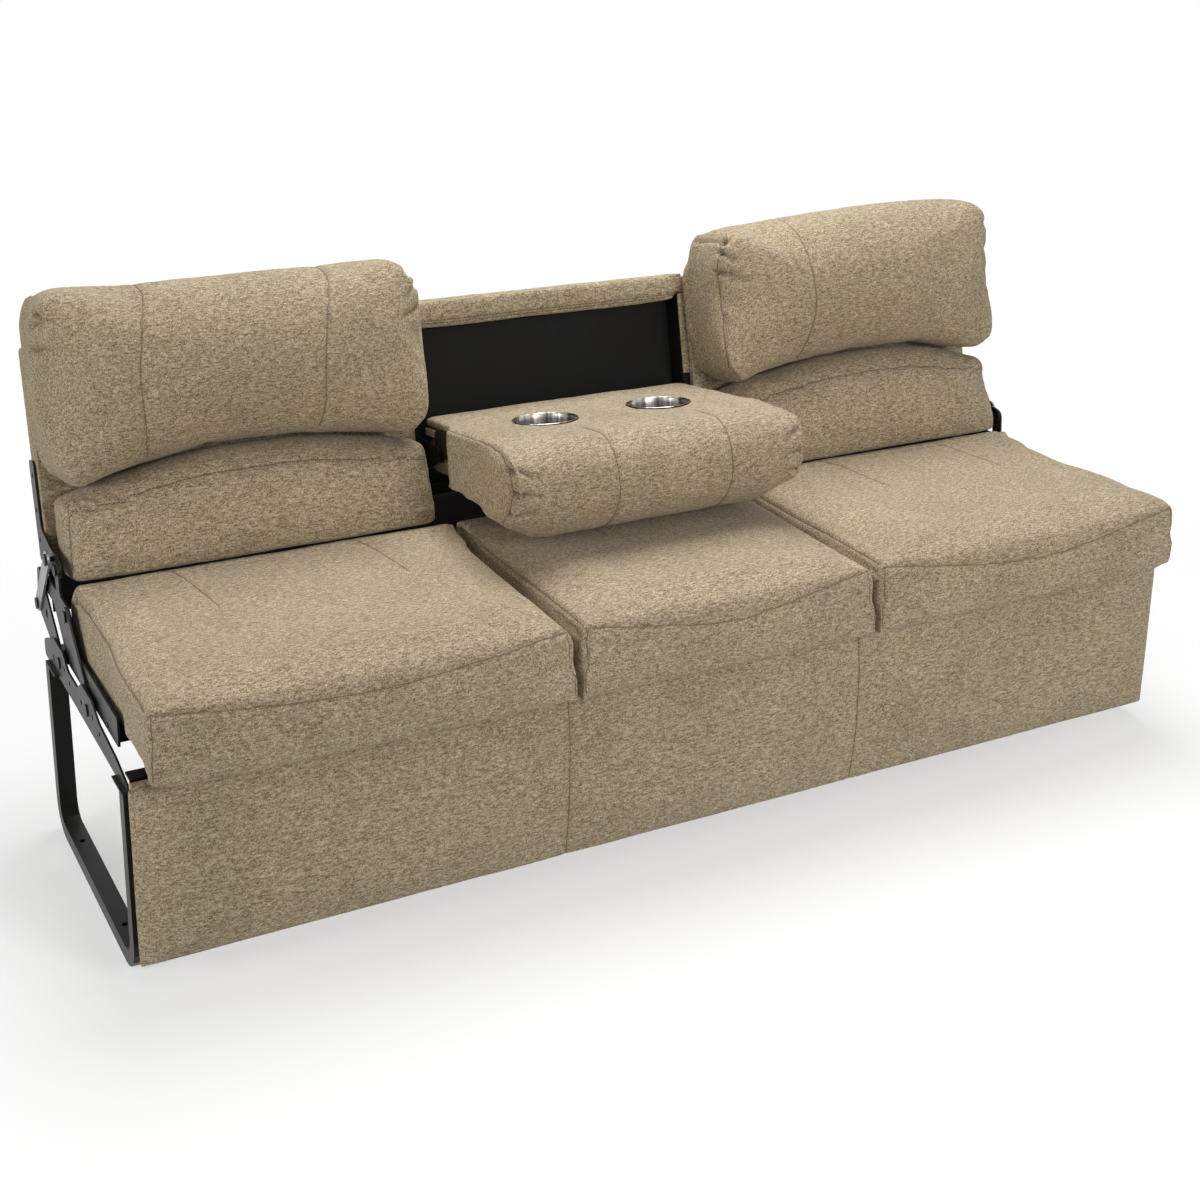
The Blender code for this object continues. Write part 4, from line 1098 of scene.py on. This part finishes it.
def ripple(piece, strength=1.0):
    """Slow waves and small puckers in the cloth, from seeded noise at each point."""
    mesh = piece.data
    points, normals = read_rows(mesh), read_rows(mesh, "normal")
    waves = np.empty(len(points))
    for index, point in enumerate(points):
        spot = Vector(point)
        slow = noise.noise(spot / RIPPLE_SIZE)
        quick = noise.noise(spot / PUCKER_SIZE + Vector((7.3, 1.9, 4.1)))
        waves[index] = RIPPLE * (slow - 0.5) + PUCKER * (quick - 0.5)
    write_points(mesh, points + normals * (strength * waves)[:, None])


def refine(piece):
    reshape(piece, "finer skin", "SUBSURF", levels=1, render_levels=1)
    piece.data.shade_smooth()


for cushion in cushions:
    ripple(cushion["piece"], 0.5 if cushion["body"] == "base" else 1.0)
    refine(cushion["piece"])
print("points in the skins", sum(len(c["piece"].data.vertices) for c in cushions))

# %% Lines on the skin
LINE_STEP = 0.004
# The dark value of each style is painted shade: how far the seam attribute darkens the cloth in its groove, most
# in a pleat.
SEAM = {"depth": 0.0022, "width": 0.0044, "dark": 0.26, "fade": False, "thread": "line"}
EDGE = {"depth": 0.0014, "width": 0.0050, "dark": 0.10, "fade": False, "thread": ""}
TOPSTITCH = {"depth": 0.0018, "width": 0.0040, "dark": 0.40, "fade": False, "thread": "stitch"}
DART = {"depth": 0.0017, "width": 0.0042, "dark": 0.30, "fade": True, "thread": "line"}
PLEAT = {"depth": 0.0100, "width": 0.0050, "dark": 0.95, "fade": True, "thread": ""}


def sample_line(points):
    """A curve through the points, as even samples: Catmull-Rom between them."""
    points = [Vector(p) for p in points]
    spread = [2 * points[0] - points[1], *points, 2 * points[-1] - points[-2]]
    samples = []
    for k in range(1, len(spread) - 2):
        a, b, c, d = spread[k - 1:k + 3]
        steps = max(2, round((c - b).length / LINE_STEP))
        for step in range(steps):
            t = step / steps
            bend = (2 * a - 5 * b + 4 * c - d) * t * t + (3 * b - a - 3 * c + d) * t ** 3
            samples.append(0.5 * (2 * b + (c - a) * t + bend))
    samples.append(points[-1])
    return samples


def skin_tree(mesh):
    points = [v.co for v in mesh.vertices]
    return BVHTree.FromPolygons(points, [tuple(p.vertices) for p in mesh.polygons])


def sew(piece, lines):
    """Sink the lines into the skin, mark painted shade along them in the seam attribute and return the threads'
    paths.
    """
    mesh = piece.data
    count = len(mesh.vertices)
    points, normals = read_rows(mesh), read_rows(mesh, "normal")
    near = KDTree(count)
    for index, point in enumerate(points):
        near.insert(point, index)
    near.balance()
    tree = skin_tree(mesh)
    sink, dark = np.zeros(count), np.zeros(count)
    paths = []
    for style, line in lines:
        samples = [tree.find_nearest(p)[0] for p in sample_line(line)]
        for number, spot in enumerate(samples):
            share = number / (len(samples) - 1)
            strength = (1.0 - share) ** 0.8 if style["fade"] else 1.0
            for _, index, gap in near.find_range(spot, 2.6 * style["width"]):
                bell = strength * math.exp(-(gap / style["width"]) ** 2)
                sink[index] = max(sink[index], style["depth"] * bell)
                # The darkening is painted shade in the groove, narrower than the sunk groove itself.
                groove_shade = strength * math.exp(-(gap / (0.45 * style["width"])) ** 2)
                dark[index] = max(dark[index], style["dark"] * groove_shade)
        if style["thread"]:
            paths.append((samples, style))
    write_points(mesh, points - normals * sink[:, None])
    # The seam attribute carries this painted shade to the tweed material.
    mark = mesh.attributes.new("seam", "FLOAT", "POINT")
    mark.data.foreach_set("value", dark)
    sunk = skin_tree(mesh)
    threads = []
    for samples, style in paths:
        hits = [sunk.find_nearest(p) for p in samples]
        threads.append((style["thread"], [hit[0] + 0.0002 * hit[1] for hit in hits]))
    return threads


# %% [markdown]
# The seat's front seams sag in the middle of each section, where the top cloth rolls over the edge. Two
# darts run forward from the back edge of each section, and seams follow its ends.

# %% Seams of the seat
SEAM_TOP = 0.4265
SEAM_SIDE = 0.4150
SEAM_INSET = 0.004
SEAM_SAG = {"left": 0.040, "center": 0.046, "right": 0.050}
DARTS = {"left": (-0.697, -0.412), "center": (-0.083, 0.112), "right": (0.452, 0.690)}
DART_FRONT = -0.070


def seat_end(x):
    """Where a section's end seam runs, a little inside an outer end."""
    sign = -1 if x < 0 else 1
    return sign * (SEAT_WIDE[sign] - SEAM_INSET) if abs(x) > OUTER else x


def seat_lines(side):
    low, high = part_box(f"{side}_seat_cushion")
    ends = [seat_end(x) for x in (low.x, high.x)]
    middle, half = (ends[0] + ends[1]) / 2, (ends[1] - ends[0]) / 2
    front = []
    for k in range(-6, 7):
        u = k / 6
        sag = SEAM_SAG[side] * (1.0 - u * u)
        front.append((middle + u * (half - SEAM_INSET), SEAT_FRONT, SEAM_TOP - sag))
    lines = [(SEAM, front)]
    for end in ends:
        inward = 0.0025 if end < middle else -0.0025
        edge = [(end + inward, y, SEAM_SIDE) for y in (-0.305, -0.2, -0.05, 0.100)]
        lines.append((SEAM, edge))
        corner = [(end + inward, SEAT_FRONT, z) for z in (SEAM_TOP, 0.385, 0.350, 0.312)]
        lines.append((SEAM, corner))
    for x in DARTS[side]:
        dart = [(x - 0.011, 0.105, 0.44), (x, 0.03, 0.44), (x + 0.010, DART_FRONT, 0.44)]
        lines.append((DART, dart))
    return lines


# %% [markdown]
# On the back, two seams cross each pillow from top to bottom, and the right pillow's outer one is faint. An
# end seam runs round the boxing at the inner end, and pleats gather at the upper corners of both ends. The
# lumbar pad has one topstitched line under the crease and a seam at each end.

# %% Seams of the back
PILLOW_SEAMS = {
    "left": ((0.419, 0.447, 0.455), (0.700, 0.727, 0.716)),
    "right": ((0.428, 0.436, 0.424), (0.712, 0.727, 0.720)),
}
PILLOW_FRONT = -0.080
BOXING = (
    (0.060, 0.392), (0.020, 0.396), (-0.012, 0.386), (-0.020, 0.330), (-0.025, 0.265),
    (-0.026, 0.190), (-0.012, 0.146),
)
INNER_PLEATS = (
    (0.398, 0.020, -0.012), (0.388, 0.030, -0.006), (0.362, 0.050, 0.026), (0.322, 0.062, 0.018),
)
OUTER_PLEATS = ((0.374, 0.040, 0.026), (0.352, 0.034, -0.012), (0.318, 0.030, 0.006))
TOPSTITCH_LOW = {"left": 0.084, "right": 0.094}
TOPSTITCH_ARCH = 0.034
RAIL_FRONT, RAIL_REACH = 0.080, 0.252
RAIL_ROWS = (0.2815, 0.2885)


def pillow_lines(side):
    sign = -1 if side == "left" else 1
    lines = []
    for top, middle, bottom in PILLOW_SEAMS[side]:
        shoulder, waist = (top + middle) / 2, (middle + bottom) / 2
        places = ((top, 0.040, 0.42), (top, -0.02, 0.405), (shoulder, -0.065, 0.345),
                  (middle, PILLOW_FRONT, 0.26), (waist, -0.065, 0.185), (bottom, -0.02, 0.14))
        seam = [(sign * x, n, w) for x, n, w in places]
        faint = side == "right" and top > 0.6
        lines.append((EDGE if faint else SEAM, lay(seam, "back")))
    for end, inward, pleats in ((PILLOW_INNER, 1, INNER_PLEATS), (PILLOW_END, -1, OUTER_PLEATS)):
        if inward > 0:
            lines.append((SEAM, lay([(sign * (end + 0.003), n, w) for n, w in BOXING], "back")))
        first, halfway, last = (-0.016, -0.045, -0.060) if inward > 0 else (0.012, -0.020, -0.045)
        for w, length, drop in pleats:
            start = (sign * (end + inward * 0.003), first, w)
            middle = (sign * (end + inward * 0.45 * length), halfway, w - 0.4 * drop)
            stop = (sign * (end + inward * length), last, w - drop)
            lines.append((PLEAT, lay([start, middle, stop], "back")))
    return lines


def lumbar_lines(side):
    low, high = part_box(f"{side}_lumbar_pad")
    middle, half = (low.x + high.x) / 2, (high.x - low.x) / 2
    stitch = []
    for k in range(-6, 7):
        u = k / 6
        rise = TOPSTITCH_LOW[side] + TOPSTITCH_ARCH * (1 - u * u)
        stitch.append((middle + u * (half - PAD_DRAW - 0.002), -0.030, rise))
    lines = [(TOPSTITCH, lay(stitch, "back"))]
    for end in (low.x, high.x):
        inward = math.copysign(PAD_DRAW + 0.003, middle - end)
        edge = [(end + inward, -0.012, w) for w in (0.122, 0.09, 0.05, 0.0)]
        lines.append((SEAM, lay(edge, "back")))
    return lines


def rail_lines():
    """Two rows of stitches along the lower edge of the rail's pad."""
    rows = [[(x, RAIL_FRONT, w) for x in (-RAIL_REACH, 0.0, RAIL_REACH)] for w in RAIL_ROWS]
    return [(TOPSTITCH, lay(row, "back")) for row in rows]


# %% [markdown]
# The console's roll has two seams that carry on the lines of the pillows, and boxed ends with a few
# pleats. The valance has its two upright seams.

# %% Seams of the console and the valance
CONSOLE_SEAMS = (-0.086, 0.114)
ROLL = (
    (-0.200, 0.060), (-0.255, 0.056), (-0.300, 0.036), (-0.330, -0.008), (-0.320, -0.050),
    (-0.285, -0.095), (-0.220, -0.120),
)
CONSOLE_END = (
    (-0.045, 0.056), (-0.120, 0.056), (-0.205, 0.050), (-0.258, 0.036), (-0.288, 0.004),
    (-0.280, -0.036), (-0.240, -0.072),
)
CONSOLE_PLEATS = ((-0.276, 0.020, 0.040), (-0.288, -0.012, 0.050), (-0.272, -0.046, 0.040))
VALANCE_SEAMS = (-0.250, 0.256)


def console_lines():
    lines = [(SEAM, lay([(x, y, z) for y, z in ROLL], "console")) for x in CONSOLE_SEAMS]
    for sign in (-1, 1):
        end = [(sign * 0.2520, y, z) for y, z in CONSOLE_END]
        lines.append((SEAM, lay(end, "console")))
        for y, z, length in CONSOLE_PLEATS:
            start = (sign * 0.251, y, z)
            middle = (sign * (0.250 - 0.4 * length), y - 0.025, z - 0.006)
            stop = (sign * (0.250 - length), y - 0.035, z - 0.014)
            lines.append((PLEAT, lay([start, middle, stop], "console")))
    return lines


def valance_lines():
    front = valance_low.y - 0.004
    span = (valance_low.z + 0.002, valance_low.z + 0.14, valance_high.z - 0.002)
    return [(SEAM, [(x, front, z) for z in span]) for x in VALANCE_SEAMS]


# %% Sewing
SEWING = {f"{side}_seat_cover": seat_lines(side) for side in ("left", "center", "right")}
for side in ("left", "right"):
    SEWING[f"{side}_pillow_cover"] = pillow_lines(side)
    SEWING[f"{side}_lumbar_cover"] = lumbar_lines(side)
SEWING["console_cover"] = console_lines()
SEWING["valance_cover"] = valance_lines()
SEWING["rail_cover"] = rail_lines()
threads = {"base": [], "seat": [], "back": [], "console": []}
for cushion in cushions:
    piece = cushion["piece"]
    threads[cushion["body"]] += sew(piece, SEWING.get(piece.name, []))
    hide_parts(*cushion["nodes"])
    dress(piece, cushion["body"], TWEED)
print("threads", {body: len(lines) for body, lines in threads.items()})

# %% [markdown]
# ## Thread
#
# A closed seam shows as one dark line, a thin tube whose colour is thread and painted shade of the
# seam's groove together, and a topstitch as a row of short stitches. Both follow paths, so Geometry
# Nodes make them: one tree sweeps a small ring along the path, the other sets a bead, drawn out along
# the path, at even steps. The result is turned into plain meshes, one for each body.

# %% Thread materials


def make_thread(name, dark, light):
    material, tree, shader = new_material(name)
    twist = add_noise(tree, object_place(tree), 700.0)
    fill(tree, shader, {
        "Base Color": mix_colour(tree, twist, (*dark, 1.0), (*light, 1.0)),
        "Roughness": 0.8,
        "Normal": bumped(tree, twist, 0.4, 0.0003),
    })
    return material


# The seam line's colour stands for the thread and for painted shade in the seam's groove; the stitches are thread
# only.
SEAM_THREAD_AND_SHADE = make_thread("seam_thread_and_shade", (0.105, 0.079, 0.050), (0.225, 0.178, 0.115))
STITCH_THREAD = make_thread("stitch_thread", (0.060, 0.044, 0.028), (0.150, 0.115, 0.075))

# %% Trees for seam lines and stitches
GEOMETRY = "NodeSocketGeometry"


def thread_tree(name, measures, build):
    """A tree that turns paths into thread and ends in Realize Instances and Set Material."""
    inputs = [("Geometry", GEOMETRY, None), *((label, FLOAT, None) for label in measures)]
    inputs.append(("Thread", "NodeSocketMaterial", None))
    tree, start, end = new_tree(name, "GeometryNodeTree", inputs, [("Geometry", GEOMETRY)])
    path = add_node(tree, "GeometryNodeMeshToCurve", {"Mesh": start["Geometry"]}).outputs["Curve"]
    real = add_node(tree, "GeometryNodeRealizeInstances", {"Geometry": build(tree, start, path)})
    finish = add_node(tree, "GeometryNodeSetMaterial",
                      {"Geometry": real.outputs["Geometry"], "Material": start["Thread"]})
    fill(tree, end, {"Geometry": finish.outputs["Geometry"]})
    return tree


def sweep_line(tree, start, path):
    """A small ring swept along the path."""
    ring = add_node(tree, "GeometryNodeCurvePrimitiveCircle", {"Resolution": 5, "Radius": start["Radius"]})
    sweep = add_node(tree, "GeometryNodeCurveToMesh",
                     {"Curve": path, "Profile Curve": ring.outputs["Curve"], "Fill Caps": True})
    return sweep.outputs["Mesh"]


def set_stitches(tree, start, path):
    """Beads, drawn out along the path, at even steps."""
    steps = add_node(tree, "GeometryNodeResampleCurve", mode="LENGTH")
    fill(tree, steps, {"Curve": path, "Length": start["Spacing"]})
    bead = add_node(tree, "GeometryNodeMeshUVSphere", {"Segments": 6, "Rings": 4, "Radius": 0.5})
    width = start["Width"]
    size = add_node(tree, "ShaderNodeCombineXYZ", {"X": start["Length"], "Y": width, "Z": width})
    drawn = add_node(tree, "GeometryNodeTransform",
                     {"Geometry": bead.outputs["Mesh"], "Scale": size.outputs["Vector"]})
    along = add_node(tree, "GeometryNodeInputTangent")
    aim = add_node(tree, "FunctionNodeAlignRotationToVector", {"Vector": along.outputs["Tangent"]}, axis="X")
    row = add_node(tree, "GeometryNodeInstanceOnPoints", {
        "Points": steps.outputs["Curve"],
        "Instance": drawn.outputs["Geometry"],
        "Rotation": aim.outputs["Rotation"],
    })
    return row.outputs["Instances"]


SEAM_TREE = thread_tree("seam_line", ("Radius",), sweep_line)
STITCH_TREE = thread_tree("stitch_row", ("Spacing", "Length", "Width"), set_stitches)

# %% Laying the thread
SEAM_RADIUS = 0.0005
STITCH = {"Spacing": 0.0058, "Length": 0.0048, "Width": 0.0015}


def lay_thread(name, body, tree, paths, values):
    """A plain mesh of all the thread that one tree lays on one body."""
    points, edges = [], []
    for path in paths:
        first = len(points)
        points += [tuple(p) for p in path]
        edges += [(k, k + 1) for k in range(first, len(points) - 1)]
    mesh = bpy.data.meshes.new(name)
    mesh.from_pydata(points, edges, [])
    piece = link_new(name, mesh)
    modifier = piece.modifiers.new(tree.name, "NODES")
    modifier.node_group = tree
    sockets = {item.name: item.identifier for item in tree.interface.items_tree if item.in_out == "INPUT"}
    for label, value in values.items():
        modifier[sockets[label]] = value
    keep_result(piece)
    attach(piece, body)
    print(name, len(piece.data.polygons), "faces")


for body, rows in threads.items():
    lines = [path for kind, path in rows if kind == "line"]
    stitches = [path for kind, path in rows if kind == "stitch"]
    if lines:
        seam_values = {"Radius": SEAM_RADIUS, "Thread": SEAM_THREAD_AND_SHADE}
        lay_thread(f"{body}_seam_lines", body, SEAM_TREE, lines, seam_values)
    if stitches:
        lay_thread(f"{body}_stitches", body, STITCH_TREE, stitches, {**STITCH, "Thread": STITCH_THREAD})

# %% [markdown]
# ## Cloth round the frame
#
# At the outer ends of the back the same cloth goes round the frame's uprights, and a narrow strip of it
# faces the edge of the well beside each pillow. Both are remeshed or bevelled copies with soft edges. A
# batten ends the well at its foot, and a black dust cloth hangs below it and shuts the gap over the seat.
# It can't follow the folding back without meeting the seat; here it is one fixed sheet with shallow waves that
# grow towards its free edge.

# %% Wrapped uprights and strips
WRAP_VOXEL = 0.0050
STRIP = ((0.2503, 0.0868, 0.150), (0.2632, 0.0896, 0.289))
STRIP_BEVEL = 0.0011
BATTEN = ((-0.2494, 0.1185, 0.0008), (0.2494, 0.1241, 0.0190))


def strip_piece(name, sign, span):
    builder = bmesh.new()
    add_block(builder, *span, "back", sign)
    bmesh.ops.recalc_face_normals(builder, faces=builder.faces[:])
    bmesh.ops.bevel(builder, geom=builder.edges[:], offset=STRIP_BEVEL, segments=3, affect="EDGES",
                    profile=0.5)
    mesh = bpy.data.meshes.new(name)
    close_mesh(builder, mesh)
    mesh.shade_smooth()
    return link_new(name, mesh)


for side, sign in (("left", -1), ("right", 1)):
    upright = merged_copy(f"{side}_upright_wrap", [f"{side}_outer_stile"], "back")
    even_skin(upright, WRAP_VOXEL)
    refine(upright)
    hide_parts(f"{side}_outer_stile")
    dress(upright, "back", TWEED)
    dress(strip_piece(f"{side}_well_strip", sign, STRIP), "back", TWEED)
dress(strip_piece("well_batten", 1, BATTEN), "back", BLACK_PANEL)
print("wrapped uprights, strips and batten made")

# %% [markdown]
# A thin black board closes the back from behind. It stops a little short of the frame's edges and is held
# by a row of staples, which the stitch tree sets along a path round the board.

# %% Rear board
REAR_BOARD = ((-0.8500, 0.1308, 0.0085), (0.8500, 0.1333, 0.3125))
STAPLE = {"Spacing": 0.0520, "Length": 0.0120, "Width": 0.0012}
STAPLE_INSET, STAPLE_DEPTH = 0.007, 0.1334

rear_board = strip_piece("rear_board", 1, REAR_BOARD)
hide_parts("rear_panel")
dress(rear_board, "back", BLACK_PANEL)
left, right = REAR_BOARD[0][0] + STAPLE_INSET, REAR_BOARD[1][0] - STAPLE_INSET
foot, top = REAR_BOARD[0][2] + STAPLE_INSET, REAR_BOARD[1][2] - STAPLE_INSET
corners = [(x, STAPLE_DEPTH, w) for x, w in ((left, foot), (right, foot), (right, top), (left, top))]
staple_rows = [lay(pair, "back") for pair in zip(corners, corners[1:] + corners[:1])]
lay_thread("rear_staples", "back", STITCH_TREE, staple_rows, {**STAPLE, "Thread": ZINC})

# %% Dust cloth
DUST_WIDTH = 1.708
DUST_TOP, DUST_DROP = 0.0024, 0.084
DUST_DEPTH = 0.1165
DUST_WAVE = 0.0016
DUST_THICKNESS = 0.0008


def make_dust_cloth():
    """A thin hanging sheet with shallow waves that grow towards its free edge."""
    columns, rows = 170, 8
    points = []
    for row in range(rows + 1):
        share = row / rows
        for column in range(columns + 1):
            x = DUST_WIDTH * (column / columns - 0.5)
            wave = DUST_WAVE * share * math.sin(46.0 * x + 0.8 * math.sin(11.0 * x))
            points.append((x, DUST_DEPTH + wave, DUST_TOP - DUST_DROP * share))
    faces = []
    for row in range(rows):
        for column in range(columns):
            a = row * (columns + 1) + column
            faces.append((a, a + columns + 1, a + columns + 2, a + 1))
    mesh = bpy.data.meshes.new("well_dust_cloth")
    mesh.from_pydata(lay(points, "back"), [], faces)
    piece = link_new("well_dust_cloth", mesh)
    reshape(piece, "thickness", "SOLIDIFY", thickness=DUST_THICKNESS, offset=0.0)
    piece.data.shade_smooth()
    return piece


DUST_CLOTH = make_coated("black_dust_cloth", (0.0060, 0.0060, 0.0058), 0.05, (0.75, 0.92), 1500.0, 0.5)
dust_cloth = make_dust_cloth()
dress(dust_cloth, "back", DUST_CLOTH)
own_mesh(dust_cloth)
print("dust cloth", len(dust_cloth.data.polygons), "faces")

# %% [markdown]
# ## Cups
#
# The two cup holders are spun from stainless sheet, with a rolled rim that presses on the cloth. A
# profile turned about the cup's axis gives that in one closed skin. Its UV map unrolls the wall, so that
# the lathe's fine rings follow it.

# %% Spun cups
CUP_STEPS = 72
CUP_PROFILE = (
    (0.0, -0.0148), (0.014, -0.0148), (0.030, -0.0150), (0.0400, -0.0146), (0.0440, -0.0125),
    (0.0458, -0.0085), (0.0466, 0.0050), (0.0476, 0.0250), (0.0484, 0.0450), (0.0488, 0.0522),
    (0.0493, 0.0538), (0.0503, 0.0546), (0.0515, 0.0546), (0.0525, 0.0542), (0.0529, 0.0537),
    (0.0522, 0.0533), (0.0508, 0.0531), (0.0498, 0.0512), (0.0494, 0.0450), (0.0486, 0.0250),
    (0.0476, 0.0050), (0.0468, -0.0100), (0.0450, -0.0145), (0.0400, -0.0166), (0.0, -0.0168),
)


def spin_cup(name, cup_x, cup_y):
    points, faces, unrolled = [], [], []
    rings = len(CUP_PROFILE)
    lengths = [0.0]
    for (r0, z0), (r1, z1) in zip(CUP_PROFILE, CUP_PROFILE[1:]):
        lengths.append(lengths[-1] + math.hypot(r1 - r0, z1 - z0))
    for step in range(CUP_STEPS):
        angle = 2 * math.pi * step / CUP_STEPS
        for radius, z in CUP_PROFILE:
            points.append((cup_x + radius * math.cos(angle), cup_y + radius * math.sin(angle), z))
    for step in range(CUP_STEPS):
        following = (step + 1) % CUP_STEPS
        for ring in range(rings - 1):
            corners = ((step, ring), (following, ring), (following, ring + 1), (step, ring + 1))
            faces.append(tuple(s * rings + r for s, r in corners))
            turns = (step, step + 1, step + 1, step)
            unrolled += [(turn / CUP_STEPS, lengths[r]) for turn, (_, r) in zip(turns, corners)]
    mesh = bpy.data.meshes.new(name)
    mesh.from_pydata(lay(points, "console"), [], faces)
    layer = mesh.uv_layers.new(name="unrolled")
    layer.data.foreach_set("uv", np.array(unrolled).ravel())
    builder = bmesh.new()
    builder.from_mesh(mesh)
    bmesh.ops.remove_doubles(builder, verts=builder.verts[:], dist=0.000001)
    bmesh.ops.dissolve_degenerate(builder, edges=builder.edges[:], dist=0.000001)
    bmesh.ops.recalc_face_normals(builder, faces=builder.faces[:])
    close_mesh(builder, mesh)
    mesh.shade_smooth()
    return link_new(name, mesh)


for side, (cup_x, cup_y) in zip(("left", "right"), CUP_PLACES):
    cup = spin_cup(f"{side}_cup", cup_x, cup_y)
    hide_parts(f"{side}_cup_holder")
    dress(cup, "console", STAINLESS)
    print(cup.name, len(cup.data.polygons), "faces")
